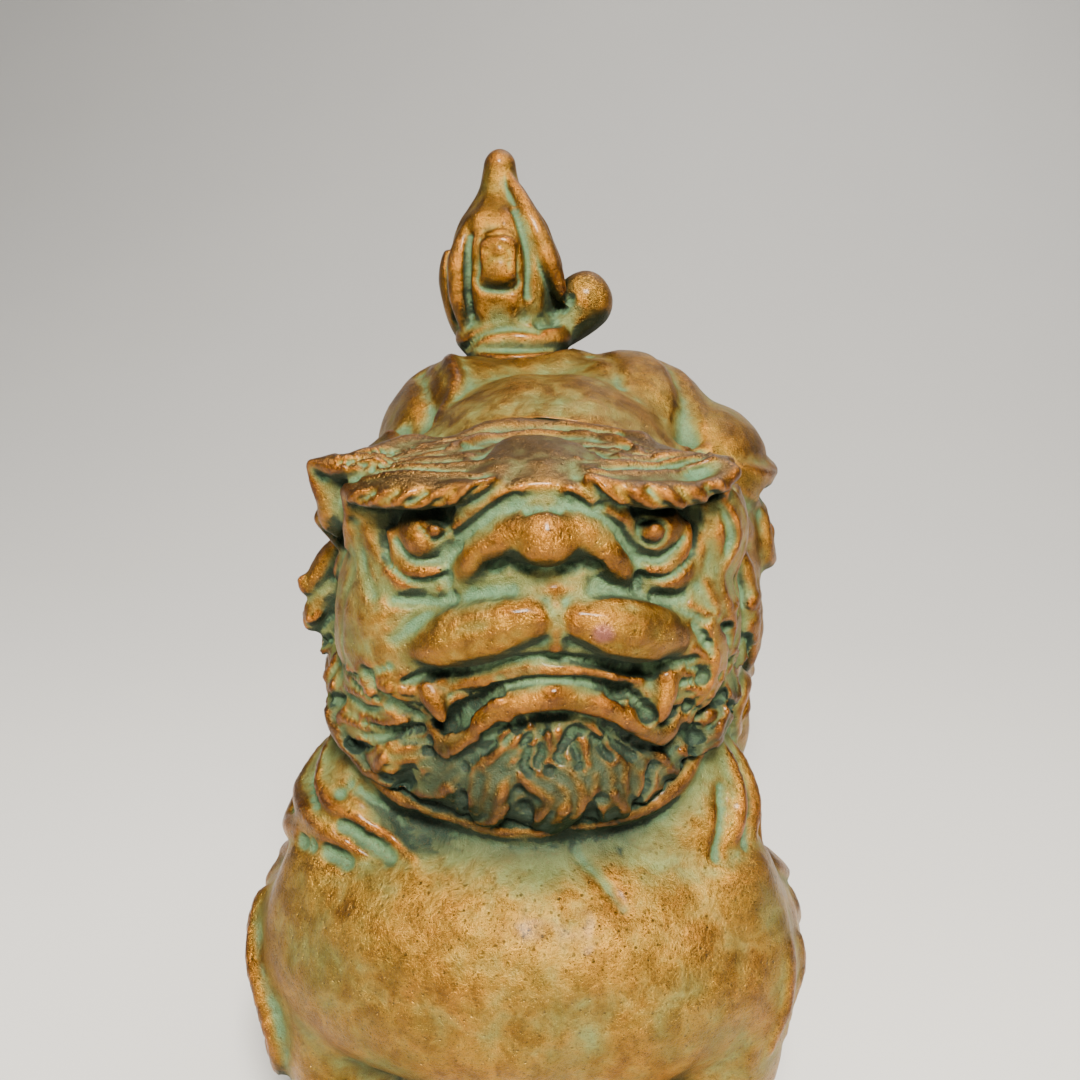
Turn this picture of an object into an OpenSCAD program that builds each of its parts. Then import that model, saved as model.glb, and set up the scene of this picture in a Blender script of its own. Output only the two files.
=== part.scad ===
// A standing guardian lion ("foo dog"), hollow cast in three castings.
// The body is one casting with its four legs. The head seats on a tilted neck face
// and is drawn down by a stud, a bridge bar and a nut. The tail seats on the rump and is
// held by one screw. A plate closes the core opening under the belly.
// The lion faces -Y. +Z is up. The origin is on the ground, under the middle of the figure.

/* [Body] */
// Distance from the front of the chest to the back of the rump
body_len = 145; // [120:1:180]
// Width of the torso at the shoulders
body_w = 92; // [76:1:110]
// Height of the back above the ground
back_h = 138; // [120:1:166]
// Height of the belly above the ground
belly_h = 36; // [28:1:42]
// How far the chest hangs below the belly, between the forelegs
chest_drop = 8; // [3:1:10]
// Thickness of the torso wall
body_wall = 4.5; // [3:0.5:6]

/* [Legs] */
// Distance between the centres of a left and a right paw
leg_spread = 60; // [50:1:70]
// Length of a front paw
front_paw_len = 38; // [32:1:42]
// Length of a hind paw
hind_paw_len = 42; // [36:1:46]
// Width of a paw
paw_w = 30; // [24:1:34]
// Radius of a felt pad
pad_r = 11; // [8:0.5:11.5]
// Thickness of a felt pad
pad_t = 1.5; // [1:0.25:3]

/* [Head] */
// Width of the head across the mane
head_w = 68; // [58:1:74]
// Height of the head from the beard to the crown
head_h = 57; // [50:1:64]
// Depth of the head from the muzzle to the back of the mane
head_d = 58; // [52:1:66]
// Angle by which the face turns towards +X
head_turn = 5; // [0:1:10]
// Angle by which the neck leans forward from upright
neck_tilt = 45; // [35:1:55]
// Radius of the locating spigot under the head
spigot_r = 19.8; // [16:0.2:21]
// Wall of the locating spigot
spigot_wall = 3.2; // [2.5:0.1:4]
// Length of the locating spigot
spigot_len = 6; // [4:0.5:8]
// Radius of the neck face that the head sits on
neck_r = 36; // [32:0.5:38]
// Thickness of the neck deck that carries the head
deck_t = 7; // [6:0.5:9]
// Least thickness of the head's wall behind the cheeks
head_wall = 11; // [7:0.5:13]

/* [Head fixing] */
// Radius of the head stud
stud_r = 2.5; // [2:0.5:3]
// Depth of the stud in the head's boss
stud_grip = 14; // [10:1:16]
// Thickness of the bridge bar across the neck bore
bridge_t = 3; // [2:0.5:4]
// Width of the bridge bar
bridge_w = 14; // [12:1:18]
// Bearing of the bridge bar on the deck at each end
bridge_land = 5; // [4:0.5:6]

/* [Tail] */
// Height of the tail above its seat
tail_h = 45; // [36:1:54]
// Width of the tail's middle plume
tail_w = 25; // [20:1:28]
// Radius of the tail's flat seat on the rump
tail_seat_r = 11; // [9:0.5:12]
// Radius of the tang under the tail
tang_r = 4.5; // [4:0.25:5.5]
// Radius of the tail screw
tail_screw_r = 2; // [1.5:0.25:2.5]

/* [Belly plate] */
// Length of the belly opening
hatch_len = 52; // [44:1:58]
// Width of the belly opening
hatch_w = 27; // [22:1:30]
// Rim of the belly plate outside the opening
hatch_rim = 5; // [4:0.5:6]
// Thickness of the belly plate
plate_t = 2; // [1.5:0.25:3]
// Radius of a belly screw
plate_screw_r = 1.5; // [1.25:0.25:2]

/* [Clearances] */
// Radial clearance between the spigot and the neck bore
spigot_clear = 0.2; // [0.1:0.05:0.4]
// Radial clearance between the tang and its bore
tang_clear = 0.1; // [0.05:0.05:0.3]
// Radial clearance of a screw or stud in a plain hole
hole_clear = 0.25; // [0.1:0.05:0.4]

/* [Hidden] */
$fn = 48;

BRONZE = "#b08a3c";
STEEL = "#9a9a94";
FELT = "#2c3a30";

// Body places
half_len = body_len / 2;
half_w = body_w / 2;
body_h = back_h - belly_h;
fore_x = leg_spread / 2;
fore_y = -half_len + front_paw_len / 2;
hind_y = half_len - 34.5;
paw_h = 14;

// Neck seat: a plane through a point on the middle line, leaning forward by neck_tilt
seat = [0, -half_len + 46.5, belly_h + 0.65 * body_h];
collar_h = 16;
collar_flare = 5;
neck_bore_r = spigot_r + spigot_clear;
head_rise = 5.7;
head_floor = 4;
ruff_r = neck_r - 1.5;
ruff_h = 9;
head_place = seat + head_rise * [0, -sin(neck_tilt), cos(neck_tilt)];
head_core_r = head_w / 2 - 2.5 - head_wall;
boss_r = 6;
boss_foot = 2;
bridge_len = 2 * (neck_bore_r + bridge_land);
washer_t = 1.2;
washer_r = 6;
nut_h = 4;
nut_r = 4.6;
stud_tail = 3;

// Tail seat, flat, on the back of the rump
tail_at = [-8, half_len - 23, back_h - 6];
tail_boss_h = 9;
tail_boss_r = 9.5;
tang_len = tail_boss_h - 1;
tail_screw_head_r = 3.8;
tail_screw_head_h = 2.6;
tail_washer_r = 7;

// Belly plate
hatch_y = 0;
plate_len = hatch_len + 2 * hatch_rim;
plate_w = hatch_w + 2 * hatch_rim;
plate_round = 4;
frame_side = 2;
frame_h = 9;
screw_x = plate_w / 2 - hatch_rim / 2;
screw_y = plate_len / 2 - hatch_rim / 2;
plate_screw_len = 6;
plate_screw_head_r = 2 * plate_screw_r - 0.2;
plate_screw_sink = 1.2;

FAR = 200;

// ---- Lofts: rows of numbers are smoothed with a Catmull-Rom curve, and each row is one ring ----

function blend(a, b, c, d, t) =
  0.5 * (2 * b + (c - a) * t + (2 * a - 5 * b + 4 * c - d) * t * t + (3 * b - a - 3 * c + d) * t * t * t);

function row_at(rows, t) =
  let (last = len(rows) - 1, i = min(floor(t), last - 1), f = t - i)
  blend(rows[max(i - 1, 0)], rows[i], rows[i + 1], rows[min(i + 2, last)], f);

function smooth_rows(rows, steps) =
  [for (i = [0:steps]) row_at(rows, i * (len(rows) - 1) / steps)];

// Rings of points, each with the same count, become one closed solid with a flat cap at each end
module ring_solid(rings) {
  n = len(rings[0]);
  m = len(rings);
  points = [for (ring = rings, p = ring) p];
  sides = [
    for (i = [0:m - 2], j = [0:n - 1])
      let (a = i * n + j, b = i * n + (j + 1) % n)
      each [[a, b, b + n], [a, b + n, a + n]]
  ];
  start_cap = [for (j = [1:n - 2]) [0, j + 1, j]];
  end_cap = [for (j = [1:n - 2]) (m - 1) * n * [1, 1, 1] + [0, j, j + 1]];
  polyhedron(points=points, faces=concat(sides, start_cap, end_cap), convexity=6);
}

// Rows of [y, z_low, z_high, z_widest, half_width] along the body
module torso_loft(rows, steps, sides) {
  ring_solid([
    for (r = smooth_rows(rows, steps))
      [
        for (j = [0:sides - 1])
          let (a = 360 * j / sides, reach = sin(a) > 0 ? r[2] - r[3] : r[3] - r[1])
          [r[4] * cos(a), r[0], r[3] + reach * sin(a)]
      ]
  ]);
}

// Rows of [z, x, y, half_x, half_y] going up
module upright_loft(rows, steps, sides) {
  ring_solid([
    for (r = smooth_rows(rows, steps))
      [
        for (j = [0:sides - 1])
          let (a = -360 * j / sides)
          [r[1] + r[3] * cos(a), r[2] + r[4] * sin(a), r[0]]
      ]
  ]);
}

// ---- Body ----

function up(share) = belly_h + share * body_h;

// The chest bulges forward under the neck face, and the haunches are as high as the back.
// An inset gives the core that makes the torso hollow.
function torso_rows(inset) =
  let (w = half_w - inset, l = half_len - inset, t = inset / 2)
  [
    [-l + 0.5, up(0.04) + t, up(0.14) - t, up(0.09), 10 - t],
    [-l + 2.5, up(0) - 0.4 * chest_drop + inset, up(0.22) - t, up(0.11), 26 - t],
    [-l + 6.5, up(0) - 0.8 * chest_drop + inset, up(0.29) - t, up(0.13), w - 10],
    [-l + 14, up(0) - chest_drop + inset, up(0.37) - inset, up(0.16), w - 3],
    [-l + 26, up(0) - chest_drop + inset, up(0.5) - inset, up(0.2), w],
    [-l + 46, up(-0.01) - 0.1 * chest_drop + inset, up(0.73) - inset, up(0.3), w - 1],
    [-l + 72, up(-0.01) + inset, up(0.94) - inset, up(0.42), w - 2.5],
    [l - 44, up(0) + inset, up(1) - inset, up(0.53), w - 3],
    [l - 25, up(0.02) + inset, up(1) - inset, up(0.57), w - 3],
    [l - 13, up(0.11) + inset, up(0.94) - inset, up(0.57), w - 11],
    [l - 5, up(0.25) + t, up(0.81) - inset, up(0.56), w - 24],
    [l, up(0.39) + t, up(0.63) - t, up(0.54), w - 37]
  ];

module foreleg(side) {
  x = side * fore_x;
  w = paw_w / 2;
  l = front_paw_len / 2;
  upright_loft([
    [pad_t, x, fore_y, w - 1, l - 1],
    [pad_t + 3, x, fore_y, w, l],
    [paw_h - 3, x, fore_y + 1, w - 1, l - 3],
    [paw_h + 7, x, fore_y + 7, w - 3, l - 7],
    [belly_h - 4, x, fore_y + 8, w - 2, l - 6],
    [belly_h + 14, x, fore_y + 8, w + 1, l - 4],
    [belly_h + 36, x, fore_y + 11, w - 1, l - 6],
    [belly_h + 46, x * 0.9, fore_y + 14, w - 7, l - 10]
  ], 16, 20);
}

module hind_leg(side) {
  x = side * fore_x;
  w = paw_w / 2;
  l = hind_paw_len / 2;
  haunch = back_h - 14;
  upright_loft([
    [pad_t, x, hind_y, w - 1, l - 1],
    [pad_t + 3, x, hind_y, w, l],
    [paw_h - 2, x, hind_y + 3, w - 1, l - 5],
    [paw_h + 8, x, hind_y + 10, w - 3, l - 9],
    [belly_h, x, hind_y + 8, w - 1, l - 5],
    [belly_h + 24, x, hind_y + 1, w + 1, l + 3],
    [haunch - 38, x, hind_y - 3, w + 1.5, l + 5],
    [haunch - 14, x, hind_y - 2, w + 1, l + 2],
    [haunch - 4, x * 0.93, hind_y - 1, w - 2, l - 4],
    [haunch, x * 0.85, hind_y, w - 9, l - 12]
  ], 20, 20);
}

// Local frame of the neck: its +Z leans forward over the seat
module neck_frame() {
  translate(seat) rotate([neck_tilt, 0, 0]) children();
}

// The neck under the head widens into the shoulders
module neck_collar() {
  neck_frame() translate([0, 0, -collar_h]) cylinder(r1=neck_r + collar_flare, r2=neck_r, h=collar_h);
}

// Room below the deck for the bridge bar and its nut
module bridge_pocket() {
  room = [bridge_len + 2, bridge_w + 2, bridge_t + washer_t + nut_h + stud_tail + 1];
  neck_frame() translate([-room[0] / 2, -room[1] / 2, -deck_t - room[2]]) cube(room);
}

module above_neck(offset) {
  neck_frame() translate([-FAR / 2, -FAR / 2, offset]) cube(FAR);
}

// The core that makes the torso hollow stops below the neck deck
module torso_core() {
  difference() {
    torso_loft(torso_rows(body_wall), 22, 24);
    above_neck(-deck_t);
  }
}

module rounded_plate(length, width, thickness, radius) {
  linear_extrude(thickness)
    union() {
      square([width - 2 * radius, length], center=true);
      square([width, length - 2 * radius], center=true);
      for (x = [-1, 1], y = [-1, 1])
        translate([x * (width / 2 - radius), y * (length / 2 - radius)]) circle(radius);
    }
}

// A flat frame round the belly opening, which the plate is screwed to
module hatch_frame() {
  translate([0, hatch_y, belly_h])
    rounded_plate(plate_len + frame_side, plate_w + frame_side, frame_h, plate_round);
}

module at_plate_screws() {
  for (x = [-1, 1], y = [-1, 1])
    translate([x * screw_x, hatch_y + y * screw_y, belly_h]) children();
}

module body_casting() {
  color(BRONZE)
    difference() {
      union() {
        difference() {
          union() {
            torso_loft(torso_rows(0), 33, 36);
            neck_collar();
            for (side = [-1, 1]) {
              foreleg(side);
              hind_leg(side);
            }
          }
          torso_core();
        }
        hatch_frame();
        translate(tail_at - [0, 0, tail_boss_h]) cylinder(r=tail_boss_r, h=tail_boss_h);
      }
      neck_frame() cylinder(r=neck_r + 0.5, h=FAR);
      neck_frame() translate([0, 0, -deck_t - 1]) cylinder(r=neck_bore_r, h=deck_t + 2);
      bridge_pocket();
      translate(tail_at) cylinder(r=tail_seat_r + 1, h=FAR);
      translate(tail_at - [0, 0, tail_boss_h + 1]) cylinder(r=tang_r + tang_clear, h=tail_boss_h + 2);
      translate([0, hatch_y, belly_h - FAR / 2]) rounded_plate(hatch_len, hatch_w, FAR / 2 + frame_h + 1, plate_round);
      translate([0, hatch_y, belly_h - plate_w])
        rounded_plate(plate_len + frame_side, plate_w + frame_side, plate_w, plate_round);
      at_plate_screws() translate([0, 0, -1]) cylinder(r=plate_screw_r, h=plate_screw_len + 1);
    }
}

// ---- Head ----

// Each feature is [azimuth, elevation, height, half_azimuth, half_elevation], in degrees and mm,
// as seen from the middle of the head. Azimuth 0 is the muzzle, and a positive one is on +X.
FACE = [
  [0, 18, 4, 24, 12],
  [0, 16, 2.5, 13, 9],
  [-21, -15, 6.5, 22, 9],
  [21, -15, 6.5, 22, 9],
  [0, -30, 2.5, 35, 9],
  [0, -58, 4, 40, 16],
  [-46, 16, -3, 16, 9],
  [46, 16, -3, 16, 9],
  [-44, 14, 2, 9, 7],
  [44, 14, 2, 9, 7],
  [-34, 36, 4, 26, 9],
  [34, 36, 4, 26, 9],
  [-70, 36, 6, 13, 9],
  [70, 36, 5, 13, 9],
  [-62, -22, 1.5, 22, 24],
  [62, -22, 1.5, 22, 24]
];

function hump(f, az, el) =
  f[2] * exp(-pow((az - f[0]) / f[3], 2) - pow((el - f[1]) / f[4], 2));

function sum(list, i = 0) = i < len(list) ? list[i] + sum(list, i + 1) : 0;

function face_height(az, el) =
  sum([for (f = FACE) hump(f, az, el)]);

// Rows of curls round the back and sides of the head
function mane_height(az, el) =
  let (mask = min(max((abs(az) - 72) / 12, 0), 1) * cos(el))
  mask * (1.2 + 1.6 * sin(el * 9 + az * 4) * cos(az * 9));

function head_base(d) =
  let (p = 2.5, s = [head_w, head_d, head_h] / 2)
  pow(pow(abs(d[0] / s[0]), p) + pow(abs(d[1] / s[1]), p) + pow(abs(d[2] / s[2]), p), -1 / p);

module head_form(rings, sides) {
  ring_solid([
    for (i = [0:rings])
      let (polar = 2 + 176 * i / rings)
      [
        for (j = [0:sides - 1])
          let (
            turn = 360 * j / sides,
            d = [sin(polar) * cos(turn), -cos(polar), sin(polar) * sin(turn)],
            az = atan2(d[0], -d[1]),
            el = asin(d[2])
          )
          d * (head_base(d) - 2.5 + face_height(az, el) + mane_height(az, el))
      ]
  ]);
}

// The head is hollow above a floor that carries the spigot
module head_core() {
  intersection() {
    translate(head_place) sphere(head_core_r);
    above_neck(head_floor);
  }
}

// The mane spreads out to the edge of the neck face
module mane_ruff() {
  neck_frame() cylinder(r1=ruff_r, r2=ruff_r - ruff_h, h=ruff_h);
}

module head_casting() {
  bore_r = spigot_r - spigot_wall;
  color(BRONZE)
    difference() {
      union() {
        difference() {
          union() {
            translate(head_place) rotate([0, 0, head_turn]) head_form(40, 48);
            mane_ruff();
          }
          neck_frame() mirror([0, 0, 1]) translate([-FAR / 2, -FAR / 2, 0]) cube(FAR);
          head_core();
        }
        neck_frame() translate([0, 0, -spigot_len]) cylinder(r=spigot_r, h=spigot_len + 1);
        neck_frame() translate([0, 0, boss_foot]) cylinder(r=boss_r, h=head_rise + head_core_r - boss_foot + 1);
      }
      neck_frame() difference() {
        translate([0, 0, -spigot_len - 1]) cylinder(r=bore_r, h=spigot_len + head_floor + 2);
        translate([0, 0, boss_foot]) cylinder(r=boss_r, h=FAR);
      }
      neck_frame() translate([0, 0, boss_foot - 1]) cylinder(r=stud_r, h=stud_grip + 1);
    }
}

// ---- Head fixing ----

module bridge_bar() {
  color(STEEL)
    neck_frame() translate([0, 0, -deck_t - bridge_t])
      difference() {
        translate([-bridge_len / 2, -bridge_w / 2, 0]) cube([bridge_len, bridge_w, bridge_t]);
        translate([0, 0, -1]) cylinder(r=stud_r + hole_clear, h=bridge_t + 2);
      }
}

module head_washer() {
  color(STEEL)
    neck_frame() translate([0, 0, -deck_t - bridge_t - washer_t])
      difference() {
        cylinder(r=washer_r, h=washer_t);
        translate([0, 0, -1]) cylinder(r=stud_r + hole_clear, h=washer_t + 2);
      }
}

module head_nut() {
  color(STEEL)
    neck_frame() translate([0, 0, -deck_t - bridge_t - washer_t - nut_h])
      difference() {
        cylinder(r=nut_r, h=nut_h, $fn=6);
        translate([0, 0, -1]) cylinder(r=stud_r, h=nut_h + 2);
      }
}

module head_stud() {
  below = deck_t + bridge_t + washer_t + nut_h + stud_tail;
  color(STEEL)
    neck_frame() translate([0, 0, -below]) cylinder(r=stud_r, h=below + boss_foot + stud_grip - 1);
}

// ---- Tail ----

module tail_casting() {
  x = tail_at[0];
  y = tail_at[1];
  z = tail_at[2];
  w = tail_w / 2;
  color(BRONZE)
    difference() {
      union() {
        upright_loft([
          [z, x, y, tail_seat_r - 1, tail_seat_r - 1],
          [z + 0.12 * tail_h, x - 1, y + 1, w - 0.5, 9.5],
          [z + 0.36 * tail_h, x - 3.5, y + 3, w, 9],
          [z + 0.55 * tail_h, x - 4.5, y + 4, w - 0.5, 8],
          [z + 0.7 * tail_h, x - 5, y + 5, w - 4, 6.5],
          [z + 0.84 * tail_h, x - 6, y + 5.5, w - 8, 4],
          [z + tail_h, x - 6, y + 6, 1.4, 1.4]
        ], 16, 24);
        upright_loft([
          [z + 3, x + 5, y + 3, 4, 4],
          [z + 0.2 * tail_h, x + w + 1, y + 5, 7, 6.5],
          [z + 0.34 * tail_h, x + w + 1, y + 6, 7, 6],
          [z + 0.46 * tail_h, x + w - 1, y + 6, 2.5, 2.5]
        ], 8, 16);
        upright_loft([
          [z + 2.5, x - 5, y + 3, 4, 4],
          [z + 0.28 * tail_h, x - w - 2, y + 6, 5, 5],
          [z + 0.42 * tail_h, x - w - 3, y + 7, 5, 4.5],
          [z + 0.56 * tail_h, x - w - 1, y + 7, 2, 2]
        ], 8, 16);
        translate([x, y, z - tang_len]) cylinder(r=tang_r, h=tang_len + 2);
      }
      translate([x, y, z - tang_len - 1]) cylinder(r=tail_screw_r, h=tang_len + 5);
    }
}

// The screw's head is under the washer, inside the body
module tail_screw() {
  top = tang_len + 2;
  color(STEEL)
    translate(tail_at - [0, 0, tail_boss_h + washer_t]) {
      translate([0, 0, -tail_screw_head_h])
        difference() {
          cylinder(r=tail_screw_head_r, h=tail_screw_head_h);
          translate([-0.5, -FAR / 2, -1]) cube([1, FAR, 2]);
        }
      cylinder(r=tail_screw_r, h=washer_t + top);
    }
}

module tail_washer() {
  color(STEEL)
    translate(tail_at - [0, 0, tail_boss_h + washer_t])
      difference() {
        cylinder(r=tail_washer_r, h=washer_t);
        translate([0, 0, -1]) cylinder(r=tail_screw_r + hole_clear, h=washer_t + 2);
      }
}

// ---- Belly plate ----

module plate_screw_solid(extra) {
  translate([0, 0, -plate_t]) cylinder(r=plate_screw_r + extra, h=plate_t + plate_screw_len);
  translate([0, 0, -plate_t]) cylinder(r1=plate_screw_head_r + extra, r2=plate_screw_r + extra, h=plate_screw_sink);
}

module belly_plate() {
  color(BRONZE)
    difference() {
      translate([0, hatch_y, belly_h - plate_t]) rounded_plate(plate_len, plate_w, plate_t, plate_round);
      at_plate_screws() {
        translate([0, 0, -plate_t - 1]) cylinder(r=plate_screw_r + hole_clear, h=plate_t + 2);
        translate([0, 0, -plate_t])
          cylinder(r1=plate_screw_head_r + hole_clear, r2=plate_screw_r + hole_clear, h=plate_screw_sink);
      }
    }
}

module belly_screws() {
  color(STEEL)
    at_plate_screws()
      difference() {
        plate_screw_solid(0);
        translate([-FAR / 2, -0.4, -plate_t - 1]) cube([FAR, 0.8, 1.6]);
      }
}

// ---- Felt pads ----

module paw_pads() {
  color(FELT)
    for (side = [-1, 1], y = [fore_y, hind_y])
      translate([side * fore_x, y, 0]) cylinder(r=pad_r, h=pad_t);
}

body_casting();
head_casting();
tail_casting();
belly_plate();
belly_screws();
head_stud();
bridge_bar();
head_washer();
head_nut();
tail_screw();
tail_washer();
paw_pads();
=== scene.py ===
"""A standing guardian lion, cast in bronze and patinated in antique gold and verdigris.

The head, the body and the tail are modelled in clay fashion. Big lumps are joined and given one
skin, smaller lumps and locks of hair are laid on it, and the last detail is pressed in with strokes.
Everything inside a modelling function is in millimetres.
"""

import math

import bpy
import numpy as np
from mathutils import Matrix, Vector, noise
from mathutils.bvhtree import BVHTree


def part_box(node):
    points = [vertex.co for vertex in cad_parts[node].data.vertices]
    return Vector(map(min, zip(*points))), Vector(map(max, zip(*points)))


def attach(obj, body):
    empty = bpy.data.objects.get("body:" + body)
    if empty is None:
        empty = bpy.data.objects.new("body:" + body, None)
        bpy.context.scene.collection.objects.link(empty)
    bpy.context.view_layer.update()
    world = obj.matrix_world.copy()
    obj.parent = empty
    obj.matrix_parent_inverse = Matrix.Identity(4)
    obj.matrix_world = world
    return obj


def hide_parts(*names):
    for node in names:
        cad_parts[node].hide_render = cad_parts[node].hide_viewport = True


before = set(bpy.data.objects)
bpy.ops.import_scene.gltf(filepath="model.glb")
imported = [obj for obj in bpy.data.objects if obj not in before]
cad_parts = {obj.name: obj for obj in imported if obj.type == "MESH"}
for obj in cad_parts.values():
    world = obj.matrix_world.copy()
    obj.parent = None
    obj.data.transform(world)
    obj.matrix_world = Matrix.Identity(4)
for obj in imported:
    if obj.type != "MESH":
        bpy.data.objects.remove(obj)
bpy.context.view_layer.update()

MM = 0.001
SIDES = (-1, 1)
UP = Vector((0, 0, 1))


def box_mm(node):
    """A CAD node's lowest and highest corners, in millimetres."""
    low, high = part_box(node)
    return Vector(low) / MM, Vector(high) / MM


STUD_LOW, STUD_HIGH = box_mm("head_stud")
WASHER_LOW, WASHER_HIGH = box_mm("tail_washer")
TAIL_FOOT = box_mm("tail_casting")[0].z
PLATE_HIGH = box_mm("belly_plate")[1]
GROUND = box_mm("paw_pads")[1].z

# The stud lies on the neck's axis, which leans forward over the chest
STUD_TOP = Vector((0, STUD_LOW.y, STUD_HIGH.z))
STUD_FOOT = Vector((0, STUD_HIGH.y, STUD_LOW.z))
NECK_AXIS = (STUD_TOP - STUD_FOOT).normalized()
STUD_ABOVE_SEAT = 17.5
NECK_SEAT = STUD_TOP - NECK_AXIS * STUD_ABOVE_SEAT
NECK_R = 36.0
HEAD_ABOVE_SEAT = 5.7
HEAD_AT = NECK_SEAT + NECK_AXIS * HEAD_ABOVE_SEAT
HEAD_TURN = math.radians(5)
TANG_LEN = 8.0
TAIL_SEAT_R = 12.0
TAIL_AT = (WASHER_LOW + WASHER_HIGH) / 2
TAIL_AT.z = TAIL_FOOT + TANG_LEN


# ---- Camera, floor and light ----


def place_camera():
    """A close view from a little above and a little to the lion's left, aimed at the nose."""
    aim = (HEAD_AT + Vector((3, -28, 19))) * MM
    distance = 146 * MM
    azimuth = math.radians(3.5)
    height = math.radians(18)
    out = Vector((
        math.sin(azimuth) * math.cos(height), -math.cos(azimuth) * math.cos(height), math.sin(height)
    ))
    bpy.ops.object.camera_add(location=aim + out * distance)
    camera = bpy.context.object
    camera.name = "camera"
    camera.rotation_euler = (-out).to_track_quat("-Z", "Y").to_euler()
    camera.data.lens = 36.1
    camera.data.sensor_width = 36
    camera.data.clip_start = 0.005
    bpy.context.scene.camera = camera


def add_light(name, at, aim, size, power, tint):
    bpy.ops.object.light_add(type="AREA", location=at)
    light = bpy.context.object
    light.name = name
    light.rotation_euler = (Vector(aim) - Vector(at)).to_track_quat("-Z", "Y").to_euler()
    light.data.size = size
    light.data.energy = power
    light.data.color = tint


def sweep():
    """A floor that curves up into a wall behind the lion, so that no horizon shows."""
    size, wall, bend_radius = 4, 3, 0.9
    bpy.ops.mesh.primitive_plane_add(size=size, location=(0, -0.9, 0))
    floor = bpy.context.object
    floor.name = "floor"
    bpy.ops.object.transform_apply(location=True)
    bpy.ops.object.mode_set(mode="EDIT")
    bpy.ops.mesh.select_all(action="DESELECT")
    bpy.ops.object.mode_set(mode="OBJECT")
    for edge in floor.data.edges:
        edge.select = all(floor.data.vertices[i].co.y > 0 for i in edge.vertices)
    bpy.ops.object.mode_set(mode="EDIT")
    bpy.ops.mesh.extrude_region_move(TRANSFORM_OT_translate={"value": (0, 0, wall)})
    bpy.ops.object.mode_set(mode="OBJECT")
    bend = floor.modifiers.new("bend", "BEVEL")
    bend.width = bend_radius
    bend.segments = 24
    apply_all(floor)
    shade_round(floor)
    return floor


# ---- Clay tools ----


def smooth_path(points, per_span=8):
    """A smooth curve through rows of numbers, with any number of columns."""
    rows = np.array(points, float)
    rows = np.vstack([2 * rows[0] - rows[1], rows, 2 * rows[-1] - rows[-2]])
    t = np.linspace(0, 1, per_span, endpoint=False)[:, None]
    spans = []
    for a, b, c, d in zip(rows, rows[1:], rows[2:], rows[3:]):
        bend, twist = 2 * a - 5 * b + 4 * c - d, 3 * b - a - 3 * c + d
        spans.append(0.5 * (2 * b + (c - a) * t + bend * t**2 + twist * t**3))
    return np.vstack(spans + [rows[-2:-1]])


def ball(at, size, turn=(0, 0, 0)):
    """An egg-shaped lump. size is its three half widths and turn its rotation in degrees."""
    bpy.ops.mesh.primitive_uv_sphere_add(
        segments=32, ring_count=16, radius=1, location=at, scale=size,
        rotation=[math.radians(a) for a in turn],
    )
    return bpy.context.object


def rope(points, per_span=8):
    """A round lump along a curve. Each point is x, y, z and the half thickness there."""
    rows = smooth_path(points, per_span)
    curve = bpy.data.curves.new("rope", "CURVE")
    curve.dimensions = "3D"
    curve.bevel_depth = 1.0
    curve.bevel_resolution = 3
    curve.use_fill_caps = True
    spline = curve.splines.new("POLY")
    spline.points.add(len(rows) - 1)
    for point, row in zip(spline.points, rows):
        point.co = (*row[:3], 1)
        point.radius = max(row[3], 0.15)
    lump = bpy.data.objects.new("rope", curve)
    bpy.context.collection.objects.link(lump)
    return lump


def front_rope(points):
    """A rope whose points lie on its front, as seen from a little above the lion's face."""
    return rope([(x, y + 0.93 * r, z - 0.33 * r, r) for x, y, z, r in points])


def select_only(things):
    bpy.ops.object.select_all(action="DESELECT")
    for thing in things:
        thing.select_set(True)
    bpy.context.view_layer.objects.active = things[0]


def apply_all(thing):
    select_only([thing])
    for modifier in list(thing.modifiers):
        bpy.ops.object.modifier_apply(modifier=modifier.name)


def shade_round(thing):
    for polygon in thing.data.polygons:
        polygon.use_smooth = True


def fuse(lumps, voxel, soften):
    """Joins lumps and gives them one even skin."""
    select_only(lumps)
    bpy.ops.object.convert(target="MESH")
    bpy.ops.object.join()
    clay = bpy.context.object
    bpy.ops.object.transform_apply(location=True, rotation=True, scale=True)
    skin = clay.modifiers.new("skin", "REMESH")
    skin.mode = "VOXEL"
    skin.voxel_size = voxel
    if soften:
        soft = clay.modifiers.new("soften", "SMOOTH")
        soft.factor = 0.5
        soft.iterations = soften
    apply_all(clay)
    return clay


def slice_off(clay, at, outward):
    """Cuts away what lies beyond a plane and closes the cut."""
    select_only([clay])
    bpy.ops.object.mode_set(mode="EDIT")
    bpy.ops.mesh.select_all(action="SELECT")
    bpy.ops.mesh.bisect(plane_co=at, plane_no=outward, use_fill=True, clear_outer=True)
    bpy.ops.object.mode_set(mode="OBJECT")


def cylinder(at, radius, height, axis=UP):
    """A cylinder that stands on the point at and runs along the axis."""
    bpy.ops.mesh.primitive_cylinder_add(
        vertices=96, radius=radius, depth=height, location=Vector(at) + axis * height / 2,
        rotation=UP.rotation_difference(axis).to_euler(),
    )
    return bpy.context.object


def smooth_step(values, low, high):
    """0 at low, 1 at high and an easy slope between."""
    share = np.clip((values - low) / (high - low), 0, 1)
    return share * share * (3 - 2 * share)


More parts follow.
